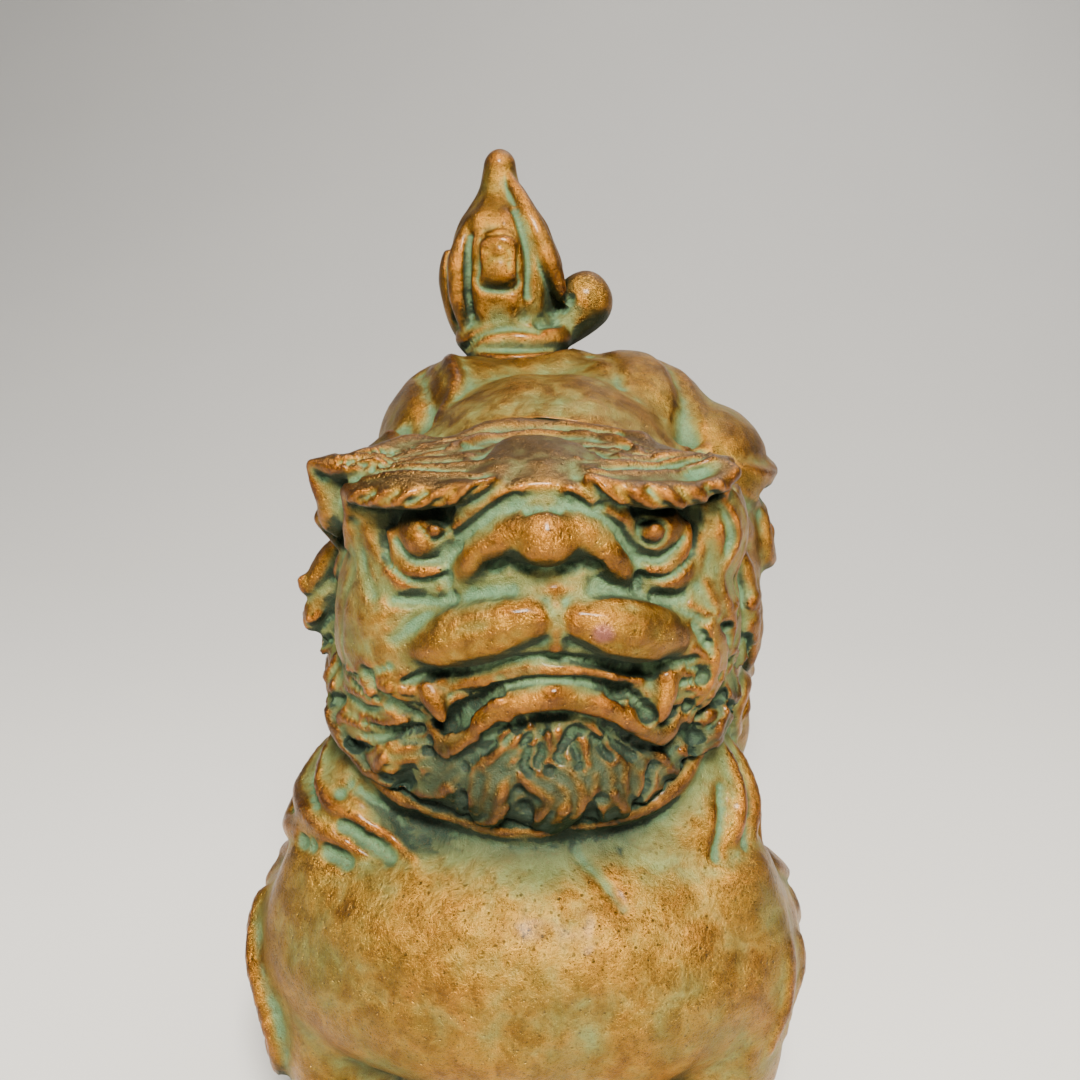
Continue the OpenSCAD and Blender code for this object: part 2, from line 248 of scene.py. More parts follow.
class Skin:
    """The points of a clay piece, for pressing detail into it."""

    def __init__(self, clay):
        self.clay = clay
        count = len(clay.data.vertices)
        self.points = np.empty(count * 3)
        clay.data.vertices.foreach_get("co", self.points)
        self.points = self.points.reshape(-1, 3)
        self.tree = skin_tree(clay)
        self.refresh()

    def refresh(self):
        """Writes the points back and reads the new normals."""
        mesh = self.clay.data
        mesh.vertices.foreach_set("co", self.points.ravel())
        mesh.update()
        normals = np.empty(len(self.points) * 3, np.float32)
        mesh.vertex_normals.foreach_get("vector", normals)
        self.normals = normals.reshape(-1, 3).astype(float)

    def near(self, path, width):
        """The points within width of a path, and how close each is: 0 at width, 1 on the path."""
        low, high = path.min(0) - width, path.max(0) + width
        found = np.nonzero(np.all((self.points > low) & (self.points < high), axis=1))[0]
        best = np.full(len(found), np.inf)
        for point in path:
            best = np.minimum(best, np.sum((self.points[found] - point) ** 2, axis=1))
        close = 1 - np.sqrt(best) / width
        keep = close > 0
        return found[keep], close[keep]

    def stroke(self, points, width, lift):
        """Raises (or with a negative lift presses) the skin along a path laid on it."""
        length = sum(math.dist(a, b) for a, b in zip(points, points[1:]))
        per_span = max(3, round(2 * length / len(points)))
        path = np.array([self.tree.find_nearest(Vector(p))[0] for p in smooth_path(points, per_span)])
        found, close = self.near(path, width)
        self.points[found] += (lift * smooth_step(close, 0, 1))[:, None] * self.normals[found]

    def strokes(self, rows):
        for row in rows:
            self.stroke(*row)
        self.refresh()

    def flatten(self, at, axis):
        """Brings the points below a plane up on to it."""
        depth = (self.points - np.array(at)) @ np.array(axis)
        self.points -= np.minimum(depth, 0)[:, None] * np.array(axis)
        self.refresh()

    def sink_seat(self, at, radius, axis):
        """Clears a round seat: points above it go down to its face or out to its wall."""
        axis = np.array(axis)
        rel = self.points - np.array(at)
        height = rel @ axis
        across = rel - height[:, None] * axis
        reach = np.linalg.norm(across, axis=1)
        inside = (height > 0) & (reach < radius)
        down = inside & (radius - reach > height * 0.5)
        self.points[down] -= height[down, None] * axis
        wall = inside & ~down
        self.points[wall] += across[wall] * (radius / reach[wall] - 1)[:, None]
        self.refresh()


def on_skin(tree, point, out=0.0):
    """The nearest place on a skin, raised by out along its normal."""
    place, normal, _, _ = tree.find_nearest(Vector(point))
    return place + normal * out


def skin_tree(clay):
    return BVHTree.FromObject(clay, bpy.context.evaluated_depsgraph_get())


def laid_rope(tree, points, sink=0.35):
    """A rope that follows a skin, sunk into it by a share of its thickness."""
    rows = smooth_path(points, 4)
    return rope([(*on_skin(tree, row[:3], row[3] * (1 - 2 * sink)), row[3]) for row in rows], 2)


def lock(tree, points, strands=3, proud=0.35):
    """A lock of hair laid on a skin: strands side by side that meet at the tip. proud is how far
    they stand off the skin, as a share of the lock's half thickness."""
    apart, finer = 0.95, 0.52
    rows = smooth_path(points, 4)
    ways = np.gradient(rows[:, :3], axis=0)
    laid = [[] for _ in range(strands)]
    for row, way in zip(rows, ways):
        place, normal, _, _ = tree.find_nearest(Vector(row[:3]))
        side = Vector(way).cross(normal).normalized()
        for k, strand in enumerate(laid):
            share = k - (strands - 1) / 2
            spot = place + side * share * row[3] * apart + normal * row[3] * proud
            strand.append((*spot, row[3] * finer))
    return [rope(strand, 2) for strand in laid]


def curl(tree, at, radius, turns, thick, start=0.0, hand=1):
    """A flat spiral of hair laid on a skin."""
    place, normal, _, _ = tree.find_nearest(Vector(at))
    across = normal.cross(UP).normalized()
    along = normal.cross(across)
    points = []
    steps = int(10 * turns)
    for i in range(steps + 1):
        share = i / steps
        angle = math.radians(start) + hand * share * turns * math.tau
        reach = radius * (1 - 0.85 * share)
        spot = place + across * reach * math.cos(angle) + along * reach * math.sin(angle)
        points.append((*on_skin(tree, spot, thick * (0.2 + 0.5 * share)), thick * (0.8 + 0.3 * share)))
    return rope(points)


def ring(at, axis, reach, height, thick, arc=(0, 360), fade=0.0):
    """A soft uneven fold round an axis. arc is the part of it in degrees, from the lion's left, and
    fade is how much thinner its ends are."""
    across = UP.cross(axis).normalized()
    along = axis.cross(across)
    points = []
    for share in np.arange(25) / 24:
        angle = math.radians(arc[0] + (arc[1] - arc[0]) * share)
        out = reach + 0.6 * math.sin(5 * angle)
        spot = at + (across * math.cos(angle) + along * math.sin(angle)) * out
        spot += axis * (height + 0.4 * math.sin(7 * angle))
        end = 1 - fade * abs(2 * share - 1) ** 3
        points.append((*spot, (thick + 0.5 * math.sin(11 * angle)) * end))
    return rope(points)


def thin(clay, triangles):
    """Leaves this many triangles, fewest where the skin is flat."""
    count = sum(len(polygon.vertices) - 2 for polygon in clay.data.polygons)
    fewer = clay.modifiers.new("thin", "DECIMATE")
    fewer.ratio = min(1, triangles / count)
    apply_all(clay)


def finish_clay(clay, name, triangles, offset=Vector((0, 0, 0)), turn=0.0):
    """Stores the relief, thins the skin and puts the piece in its place, in metres."""
    mark_relief(clay)
    thin(clay, triangles)
    clay.name = name
    clay.data.name = name
    clay.data.transform(
        Matrix.Scale(MM, 4) @ Matrix.Translation(offset) @ Matrix.Rotation(turn, 4, "Z")
    )
    clay.data.update()
    shade_round(clay)
    return clay


# ---- Head, in a frame whose origin is the middle of the head and whose face looks along -Y ----


def local_to_head(point):
    """A place in the row's frame, in the head's own frame."""
    return Matrix.Rotation(-HEAD_TURN, 3, "Z") @ (Vector(point) - HEAD_AT)


HEAD_AXIS = Matrix.Rotation(-HEAD_TURN, 3, "Z") @ NECK_AXIS
HEAD_SEAT = local_to_head(NECK_SEAT)
# A worn purple spot on the pad at the lion's left
PAD_SPOT = (HEAD_AT + Matrix.Rotation(HEAD_TURN, 3, "Z") @ Vector((9.4, -27.4, 5))) * MM
PAD_SPOT_R = 2.2 * MM


def head_masses():
    lumps = [
        ball((0, 1, 3), (28, 26, 24)),
        ball((0, 0, 12), (27, 22, 13)),
        ball((1, -11.5, 5), (20, 11, 14)),
        ball((1, -10.5, -12), (19, 10.5, 13)),
        ball((0, -6, -19), (26, 14, 11)),
        ball((0, 9, -3), (33, 20, 24)),
        ball((0, 15, 11), (27, 17, 12.5)),
        ball((0, 22, 15), (24, 9, 7.5)),
        ball((0, -7, 20), (25, 13, 4.6)),
        ball((27, -7, 15), (5, 8, 9)),
        ball((1, -12, -19), (20, 11, 10.5)),
        ball((2, -14.4, -23.5), (19, 10, 8)),
        ball((2, -15, -12), (16, 8, 8)),
    ]
    for side in SIDES:
        lumps.append(ball((side * 18, -5.5, -2), (13.5, 15.5, 21)))
        lumps += [
            ball((side * 20, -5, -16), (12.5, 12, 11)),
            ball((side * 17, -8, -20), (12, 10.5, 9.5)),
            ball((side * 23.5, -10, 17), (5.5, 5, 7)),
        ]
    return fuse(lumps, voxel=1.0, soften=12)


def brow_shelf():
    """Brows like a flat brim: a rolled front edge, an uneven rear edge and a raised middle."""
    lumps = [
        ball((0.4, -12.6, 25.4), (9.6, 9.4, 3.6), (6, 0, 0)),
        ball((0.8, -17, 25), (8, 6.4, 2.2)),
        ball((0, -3, 20.5), (22, 15, 6)),
        rope([(-27, -8, 25, 1.5), (-20, -1, 26, 1.6), (-13, 2.5, 25.2, 1.5), (-6.5, 7, 26.6, 1.7),
            (2.6, 8, 26.4, 1.8), (11, 5.5, 26.2, 1.5), (17, 1.5, 26, 1.4), (19.5, -4, 24.8, 1.5),
            (25, -9.5, 25, 1.6), (29, -14, 25.6, 1.7)]),
        front_rope([(-27.5, -15, 22.8, 1.2), (-24.5, -18.4, 22.8, 1.6), (-20, -21.4, 23.4, 1.9),
            (-13.5, -23.6, 24.2, 1.9), (-8.4, -24.4, 25.6, 1.3), (-5, -23.4, 26.8, 0.7)]),
        front_rope([(6.6, -24, 27, 0.7), (9.4, -25, 25.8, 1.3), (13, -25.3, 24.9, 1.8),
            (17, -24.6, 24.4, 2), (21.5, -23, 24, 2), (26, -19.6, 24.6, 1.6), (29.4, -16.6, 26, 1.4)]),
        ball((-5, -18.4, 23.2), (4.6, 4.6, 4)),
        ball((7.4, -18.6, 23.2), (4.6, 4.6, 4)),
        rope([(-22, -12, 24.6, 2.4), (-27.5, -10.4, 25, 2.1), (-31, -9.4, 25, 1.6),
            (-34, -8.4, 25.2, 0.8)]),
        rope([(-33.8, -8.2, 24.8, 0.8), (-32.6, -8, 21.5, 1.1), (-31, -7.4, 17, 1.3),
            (-30, -6.6, 12.6, 1)]),
        rope([(-27.4, -13.6, 22.6, 1.3), (-27.2, -12.8, 18, 1.2), (-28.2, -10, 12, 1)]),
        ball((-29.6, -7, 19.6), (3.4, 2.4, 6.6), (0, 14, 0)),
        rope([(18, -13, 24.6, 2.6), (24, -13.6, 24.8, 2.6), (28.6, -15, 25.4, 2)]),
    ]
    for side in SIDES:
        lumps += [
            ball((side * 12, -13, 24.2), (13.5, 10, 2.9), (0, side * 4, side * -10)),
            ball((side * 14, -4, 24), (12, 9, 3), (0, side * 5, 0)),
        ]
    return lumps


def nose():
    """A ball that flows into a thick rim round both nostrils, and the fold of the bridge."""
    lumps = [
        ball((1.5, -23.6, 18), (4.4, 4.6, 4.6)),
        ball((-6.4, -18.4, 20.5), (6, 4.4, 5.5)),
        ball((9.4, -18.4, 20.5), (6, 4.4, 5.5)),
        ball((1.2, -18, 24), (5, 4.6, 4)),
        ball((1.2, -18.6, 22.4), (6, 4.8, 4)),
        ball((1.5, -18.2, 14), (11, 5.7, 7)),
    ]
    folds = [
        [(-9.2, -21, 8.2, 1.2), (-9.6, -22.2, 12, 2.2), (-7.8, -23.8, 15.6, 2.7), (-5, -25, 18.2, 2.9),
            (-1.8, -25.7, 19.8, 2.9), (1.6, -25.9, 20.4, 2.9), (5, -25.7, 19.8, 2.9),
            (8, -25.1, 18.2, 2.9), (10.5, -24.1, 15.6, 2.7), (12.1, -22.6, 12, 2.2),
            (12, -21.2, 8.4, 1.2)],
        [(-9, -22.2, 9, 1), (-3, -23.8, 10, 1.3), (1.6, -24.6, 10.4, 1.4), (7, -24, 10, 1.3),
            (12, -22.2, 8.8, 1)],
        [(-12.2, -20.6, 17, 1), (-9.4, -22.2, 20.4, 1.3), (-5.6, -23.4, 23.4, 1.4),
            (-1.4, -23.8, 25.6, 1)],
        [(14.8, -20.6, 16.6, 1), (12, -22.6, 20.2, 1.3), (8, -23.8, 23, 1.4), (4, -24, 25.4, 1)],
    ]
    return lumps + [front_rope(row) for row in folds]


def eyes():
    """Bulging eyes deep under the brow, each with a bead for its pupil and two folds round it."""
    lumps = [
        ball((-15.4, -16.8, 16.6), (4.5, 4.3, 4.3)),
        ball((-14, -20.8, 18), (1.2, 0.9, 1.2)),
        ball((17, -17.2, 17.2), (4.5, 4.3, 4.3)),
        ball((16.9, -21.3, 18.2), (1.2, 0.9, 1.2)),
        ball((-17, -15.4, 10.4), (6, 4.6, 4.2)),
        ball((18.6, -15.6, 10.4), (5.6, 4.6, 4.2)),
    ]
    folds = [
        [(-21, -17, 17.6, 0.9), (-19.8, -18.6, 13.8, 1.2), (-16.4, -20.6, 12, 1.3), (-12.6, -21, 13, 1.1),
            (-11.2, -20.6, 16.4, 0.8)],
        [(22, -17.6, 18.4, 0.9), (21.4, -19, 14.4, 1.2), (18, -20.8, 12.2, 1.3), (14.2, -21.2, 13.2, 1.1),
            (12.8, -20.8, 16.6, 0.8)],
        [(-23.4, -15, 15, 0.9), (-21.6, -16.8, 10.6, 1.3), (-17, -19.2, 8.4, 1.3), (-13, -20.2, 9, 1)],
        [(24.6, -15.6, 16.6, 0.9), (23.8, -17.2, 11, 1.4), (19.6, -19.2, 8.6, 1.3), (15.4, -20.4, 9, 1)],
        [(26.8, -13.6, 17, 0.9), (26.8, -14.2, 10, 1.3), (24, -16.6, 5.6, 1)],
    ]
    return lumps + [front_rope(row) for row in folds]


def lips():
    """Two fat pads that nearly meet under the nose, with a bead on the fold between them."""
    return [
        rope([(-18.6, -18.4, -1.2, 2), (-13.6, -20.6, 1, 4), (-8.6, -22, 3.4, 4.9),
            (-3.6, -23.4, 5.2, 4.5), (0, -24.8, 6.4, 3.2), (1.8, -25, 6.8, 1.8)]),
        rope([(4, -24.8, 6.6, 1.8), (5.8, -24.6, 6.2, 3.2), (9.8, -23.4, 4.9, 4.6), (14.6, -21.9, 3.2, 5),
            (19.4, -19.4, 1.8, 3.9), (22.4, -17.4, 1, 2.3)]),
        front_rope([(2.9, -25.4, 9, 0.7), (3, -26.4, 5.4, 0.8), (2.9, -26, 2.6, 0.8)]),
        ball((2.9, -25, 2), (1.3, 1.2, 1.3)),
    ]


def jaw():
    """The lower lip arches up in the middle and dips round a fang at each corner."""
    lumps = [
        ball((1.5, -16.6, -4), (17.5, 6.7, 5.6)),
        ball((-11.4, -16.6, -9.2), (4, 4.4, 4.4)),
        ball((15.4, -17.6, -8), (4.4, 4.6, 4.8)),
    ]
    folds = [
        [(-13, -21.4, -6.2, 0.8), (-8.8, -22.9, -4.2, 1.5), (-3, -24, -2.3, 1.7), (3, -24.7, -1.5, 1.7),
            (9.6, -24.1, -2.4, 1.6), (16, -22.2, -4.8, 0.8)],
        [(-16.6, -18, -10, 1.2), (-15.4, -19.6, -13.4, 1.8), (-12.8, -21.4, -15.2, 2.2),
            (-10.2, -22.4, -13.4, 2.3), (-7.6, -23.6, -10.6, 2.3), (-4.6, -24.6, -7.8, 2.4),
            (-1, -25.4, -6.1, 2.5), (3, -25.8, -5.4, 2.5), (7.2, -25.4, -6.4, 2.5),
            (10.8, -24.6, -8.3, 2.4), (14.4, -23.6, -11, 2.3), (17.8, -22.2, -13.8, 2.2),
            (20.4, -20.4, -13.8, 1.8), (21.8, -18.6, -11, 1.3), (22.2, -17.4, -7, 1)],
        [(-16.6, -19.8, -3, 2.1), (-15.8, -21.8, -5.6, 2.1), (-14.6, -23, -8.4, 1.7),
            (-13.4, -23, -11.4, 0.6)],
        [(19, -20.6, -2.4, 2.1), (19.4, -22.4, -5.4, 2.1), (19.2, -23.2, -8.4, 1.7),
            (18.4, -23, -11.8, 0.6)],
        [(-25.4, -14.2, -1.6, 0.8), (-22.6, -16.8, -3, 1.2), (-18.6, -19, -5, 1.2)],
        [(-25.4, -14, -2.6, 0.8), (-25, -14.4, -8.6, 1.3), (-20.8, -16.6, -12.6, 1.5),
            (-17, -18.4, -15.6, 1.4)],
    ]
    return lumps + [front_rope(row) for row in folds]


def beard(tree):
    """Curling tufts that spread from under the lower lip to the edge of the jaw."""
    rows = [
        [(-3, -22, -13, 1.4), (-9, -21, -16, 2.2), (-14, -18.5, -21.5, 2), (-20, -15, -24.5, 0.7)],
        [(8, -22, -12.5, 1.4), (14, -20.5, -16.5, 2.2), (18, -18, -21.5, 2), (24, -14, -24.5, 0.7)],
        [(-1, -22, -14, 1.4), (-6, -21.5, -19, 2.4), (-7, -20, -24.5, 2.2), (-13, -17.5, -29, 0.7)],
        [(5, -22, -14.5, 1.4), (10.5, -21.5, -19, 2.4), (10.5, -20, -24.5, 2.2), (16, -17, -28.5, 0.7)],
        [(2.5, -22.5, -13.5, 1.2), (-0.5, -22.5, -18, 2.2), (4.5, -22, -23, 2.5), (0.5, -20, -27.5, 2),
            (5, -18, -30.5, 0.7)],
        [(-9.5, -21, -17, 1), (-15.5, -18.5, -18.5, 1.9), (-21.5, -15, -20, 1.8), (-26, -11.5, -18, 0.7)],
        [(-10, -19, -23, 1), (-16, -16.5, -26, 2), (-22, -12.5, -27.5, 1.8), (-27, -8, -27, 0.7)],
        [(13, -19, -22.5, 1), (19, -16, -26, 2), (24.5, -12, -27, 1.8), (29, -8, -26, 0.7)],
    ]
    return [strand for row in rows for strand in lock(tree, row, 3, 0.15)]


def mane(tree):
    """Wavy locks down the sides of the face and round the jaw, and curls behind."""
    rows = [
        [(-30, -4, 19, 1.2), (-33, -1, 12, 2), (-34, 1.5, 6, 2.2), (-38.6, 2.6, 3.6, 0.8)],
        [(-34, 1, 5, 1.2), (-36.5, 2, -1, 2.2), (-35, 1, -7, 2.2), (-37, 1, -12, 0.8)],
        [(-33, -2, -5, 1.2), (-34.5, -1, -11, 2.2), (-33, -3, -17, 2.1), (-34.6, -2.6, -21.5, 0.8)],
        [(-31, -5, -10, 1), (-31.5, -6, -16, 2), (-28.5, -10, -22, 2), (-22, -15, -26.5, 1.6),
            (-14, -18, -29, 0.7)],
        [(28, -13.5, 23, 1.2), (30, -11.5, 15, 1.7), (28.4, -12.5, 7, 1.8), (30, -10.5, -1, 1.8),
            (28, -12, -9, 0.8)],
        [(30.5, -10, 21, 1.2), (33, -7, 11, 2), (34, -6, 3, 2), (31.6, -8.5, -4, 2),
            (32.6, -7.5, -11, 0.8)],
        [(33, -5, 12, 1.2), (36.5, -3, 3, 2.3), (37.4, -2.5, -4, 2.3), (34.6, -4.5, -11, 0.9)],
        [(29, -11.5, -6, 1), (31, -9.5, -12.5, 1.9), (28, -12, -18, 2), (22.5, -16, -21, 0.8)],
        [(35, -4, -6, 1.2), (35.8, -3.5, -13, 2.3), (33, -6, -19.5, 2.2), (27, -12, -24.5, 1.9),
            (18, -17.5, -28, 0.8)],
        [(24.5, -16, 2, 0.9), (26.4, -14.6, -3, 1.5), (25.4, -15.2, -9, 1.5), (23, -17, -14, 0.7)],
        [(25.6, -15, 21, 0.8), (26.6, -14, 14, 1.2), (25.6, -15, 8, 1.2), (26.8, -14, 2, 0.6)],
        [(32, -7, 20, 0.9), (33.6, -5, 14, 1.7), (35.4, -3.6, 9, 1.7), (38, -3, 8, 0.7)],
        [(35.6, -4, -2, 1), (37, -3.6, -8, 1.9), (35.4, -5, -14, 1.9), (37, -4.4, -18, 0.7)],
        [(31, -9.6, -11, 0.9), (31.6, -9, -16, 1.8), (28.6, -12, -21.5, 1.8), (24, -15.5, -24, 0.7)],
    ]
    for side in SIDES:
        rows += [
            [(side * 29, 4, 21, 1.2), (side * 32.6, 6, 16, 1.9), (side * 34, 7, 11, 1.8),
                (side * 37.6, 6, 9.6, 0.7)],
            [(side * 33, 7, 12, 1.2), (side * 35, 8, 6, 2), (side * 34.4, 7, 1, 1.8),
                (side * 38, 6, -1.4, 0.7)],
            [(side * 33.6, 6, 1, 1.2), (side * 35.4, 7, -5, 2.1), (side * 34.6, 6, -10, 1.9),
                (side * 37.6, 5, -13, 0.7)],
        ]
    lumps = [strand for row in rows for strand in lock(tree, row)]
    lumps += [rope(row, 6) for row in (
        [(-31, 3, 9, 2), (-34.5, 3, 4, 2.4), (-37, 2.8, 1, 1.8), (-38.4, 2.4, 3.2, 0.8)],
        [(-32, 3, 2, 2.2), (-35.4, 3, -2, 2.5), (-36.8, 2.8, -5.6, 1.7), (-37.9, 2.6, -4, 0.8)],
        [(-32, 3, -5, 2.2), (-34, 2.6, -9, 2.2), (-34.8, 2, -13, 1.5), (-36, 2, -11.4, 0.8)],
        [(-31, 2, -11, 2.2), (-33, 1, -16, 2.2), (-33.6, 0.4, -20, 1.6), (-35.2, 0.6, -18, 0.8)],
        [(31, -1, 10, 2), (34, -2, 5, 2.2), (35.2, -2.8, 0, 1.8), (36.6, -3, 1.6, 0.8)],
        [(32, -2, 1, 2.2), (35, -3, -4, 2.2), (35, -3.4, -9, 1.7), (36.4, -3.4, -7.6, 0.8)],
        [(32, -3, -8, 2.2), (34.4, -4, -13, 2.2), (34.2, -4.6, -18, 1.7), (35.6, -4.6, -17, 0.8)],
    )]
    for side in SIDES:
        for x, y, z, hand in ((24, 22, 13, 1), (31, 18, 3, -1), (12, 27, 13, 1), (20, 28, 2, -1)):
            lumps.append(curl(tree, (side * x, y, z), 6.8, 1.5, 2, start=90, hand=side * hand))
        for y, z, start in ((3, 8, 60), (5, -2, 200), (2, -12, 320)):
            lumps.append(curl(tree, (side * 34, y, z), 4.4, 1.2, 1.9, start=start, hand=-side))
    lumps.append(curl(tree, (0, 28, 10), 7, 1.5, 2, start=90))
    return lumps


def face_strokes():
    """Creases round the eyes, nose, lips and cheeks. Each row is a path, its width and its lift."""
    turns = np.linspace(0, math.tau, 9)
    pupil_ring = [(16.9 + 2.3 * math.cos(a), -21.3, 18 + 2.3 * math.sin(a)) for a in turns]
    return [
        # Under the pads, between the mouth's bands and under the lower lip
        ([(-19, -18.6, -5.4), (-14, -21, -4), (-9, -22.4, -2.6), (-3, -24, -0.6), (3, -24.4, 0),
            (10, -23.4, -1.6), (16, -21.6, -3), (23, -17.6, -3)], 1.3, -1.2),
        ([(-11, -21, -8.4), (-6, -22.6, -5.6), (-1, -23.4, -3.9), (3, -23.6, -3.4), (8, -23.2, -4.2),
            (15, -21, -8)], 1.1, -0.7),
        ([(-12.6, -20.4, -12), (-10.6, -21, -9.6)], 2, -1.5),
        ([(16.4, -21, -11), (15, -21, -8)], 2, -1.3),
        ([(-11, -20.4, -17.4), (-7, -22.2, -13), (-3, -23.2, -10), (3, -23.6, -8.4), (8, -23.2, -9.6),
            (13, -22, -13), (18, -20, -16.6)], 1.8, -0.8),
        ([(1, -22.5, -10), (4, -22.5, -10)], 3, -1.6),
        # The mouth's left corner pocket and the folds of the cheeks
        ([(-23.6, -15.4, -5), (-21.4, -16.4, -8.4), (-18, -18, -11.6)], 2.1, -1.5),
        ([(-26.6, -12, 9), (-27, -11.6, 1), (-26.8, -12, -6)], 1.8, -0.35),
        ([(-26, -13.4, 17), (-25.4, -14, 11), (-23, -16, 6.6)], 1.8, -0.5),
        # The tops of the pads
        ([(-20, -17.6, 1), (-16.4, -19.4, 4.4), (-12.4, -21, 7.2), (-7.6, -22.4, 9),
            (-3, -23, 9.6)], 2, -0.45),
        ([(8, -23, 9.6), (11, -22.8, 9.6), (14.8, -21.6, 8.8), (19.8, -19.4, 6.2),
            (23.4, -16.8, 3.4)], 2, -0.45),
        # Nostrils, the shadow under the nose and the groove round its rim
        ([(-5.8, -22.6, 13.6), (-4.4, -23, 14)], 2, -1.2),
        ([(7.2, -23, 14), (8.4, -22.8, 13.8)], 2, -1.2),
        ([(-3, -24.4, 13.2), (1.5, -25, 12.8), (6, -24.4, 13.2)], 1.6, -1.4),
        ([(-12, -20, 9), (-12.6, -20.8, 13), (-10.6, -22, 17.2), (-7.4, -23.4, 20.4), (-3.4, -24.4, 22.6),
            (1.4, -24.8, 23.6), (6, -24.4, 22.6), (10.2, -23.6, 20.2), (13, -22.4, 17), (15, -21, 13),
            (14.6, -20, 9)], 1.4, -0.6),
        # Eye sockets, lids and the rings of the pupils
        ([(-22, -16.4, 20.4), (-18, -19, 21), (-12.6, -20.8, 21.4)], 2, -1.6),
        ([(24, -16.4, 20.6), (20, -19, 21.4), (14.6, -21, 21.6)], 2, -1.5),
        ([(-20, -18, 15.6), (-17.6, -19.8, 13.4), (-13.6, -20.4, 13.6)], 0.9, -0.5),
        ([(21.4, -18.4, 16), (18.6, -20.4, 13.6), (14.6, -20.8, 14)], 0.9, -0.5),
        (pupil_ring, 0.8, -0.55),
        ([(-16.4, -20.6, 18.6), (-14, -21, 16.6), (-12, -20.6, 18)], 0.8, -0.5),
        ([(-22, -16, 12.8), (-18, -18.8, 10.4), (-13.4, -20.2, 11)], 1, -0.7),
        ([(23, -16.6, 13), (19.4, -19, 10.6), (15, -20.4, 11)], 1, -0.7),
        ([(-20, -17, 6.4), (-15.6, -19.2, 7), (-11.6, -20.8, 8)], 1.6, -0.8),
        ([(17, -19.6, 7), (21.6, -17.6, 6.6)], 1.6, -0.8),
        # The middle of the forehead
        ([(-8, -14, 27), (-5.4, -8, 28.4), (1, -5, 28.6), (8, -8, 28.4), (11, -14, 27)], 1.7, -0.9),
        ([(-12, -8, 27), (-7, -1.6, 28), (3, 1, 28), (11, -3, 28), (16, -9, 27)], 1.7, 1.3),
        ([(-10, -5, 27), (-5, 2.6, 28), (3, 4.4, 28), (10, 1, 28)], 1.3, -0.7),
    ]


def brow_strokes():
    """Hair lines that sweep over the top of the brow towards its tips."""
    rows = []
    for side, tip in ((-1, -30.5), (1, 28)):
        for i in range(12):
            y = -21 + 2.1 * i
            inner = side * (8 + 2.4 * math.sin(2.4 * i) + 0.3 * i)
            middle = side * (17 + 1.5 * math.sin(5 * i))
            rows.append(([
                (inner, y, 27.5), (middle, y * 0.72 - 4, 27),
                    (tip - side * (2 + i % 3), -12.5 + 0.55 * i - 2.2, 26.5)
            ], 1, -0.65 if i % 2 else 0.4))
        for i in range(10):
            x = 7 + 2.2 * i
            y = -25.5 + 0.016 * (x - 9) ** 2
            z = 25.4 - 0.1 * i
            rows.append(([
                (side * x, y, z), (side * (x + 0.9), y, z - 1.5), (side * (x + 2.4), y + 0.4, z - 2.9)
            ], 1.2, (-0.7, 0.55, -0.4, 0.3)[i % 4]))
    return rows


def cheek_strokes():
    """Small overlapping folds of hair on the cheeks, beside the mouth."""
    rows = []
    for i in range(9):
        z = 4 - 3 * i
        dip = 1.5 * math.sin(2.1 * i)
        lift = -0.8 if i % 2 else 0.6
        rows.append(([(22.6, -17.6, z + 1), (26 + 0.5 * dip, -14.6, z - 1.5),
            (29.6, -10.5, z - 1 + dip)], 1.3, lift))
        if i > 2:
            rows.append(([(-20.6, -16.8, z + 2), (-24.6, -13.8, z - 1),
                (-28.6, -9, z - 2 - dip)], 1.3, lift * 0.8))
    return rows


def edge_strokes():
    """Grooves across the lower edge of the mane, where it meets the neck."""
    across = HEAD_AXIS.orthogonal().normalized()
    along = HEAD_AXIS.cross(across)
    rows = []
    count = 46
    for i in range(count):
        angle = math.tau * i / count
        out = across * math.cos(angle) + along * math.sin(angle)
        slant = HEAD_AXIS.cross(out) * (1.6 * math.sin(3.7 * i) + 1)
        rim = HEAD_SEAT + out * (NECK_R + 1)
        rows.append(([
            rim + HEAD_AXIS * 0.8 - slant, rim + HEAD_AXIS * 2.8, rim + HEAD_AXIS * 5.6 - out * 2 + slant
        ], 1.7 + 0.4 * math.sin(5 * i), -1.5 if i % 2 else 0.7))
    return rows


def chin_strokes():
    """Hair lines under the lower lip that run down and out to the edge of the jaw."""
    rows = []
    half_fan, count = 98, 26
    for i in range(count):
        angle = math.radians(-half_fan + 2 * half_fan * i / (count - 1))
        way = Vector((math.sin(angle), 0, -math.cos(angle)))
        wave = 1.6 * math.sin(2.3 * i)
        side = Vector((way.z, 0, -way.x)) * wave
        start = Vector((3, -23, -5)) + way * 8 + side
        middle = Vector((2, -19, -8)) + way * (13 + 1.5 * math.sin(4 * i)) - side
        end = Vector((1, -12, -9)) + way * (23 if abs(angle) < 1.2 else 26) + side
        rows.append(([start, middle, end], 1.3, -0.95 if i % 2 else 0.5))
    return rows


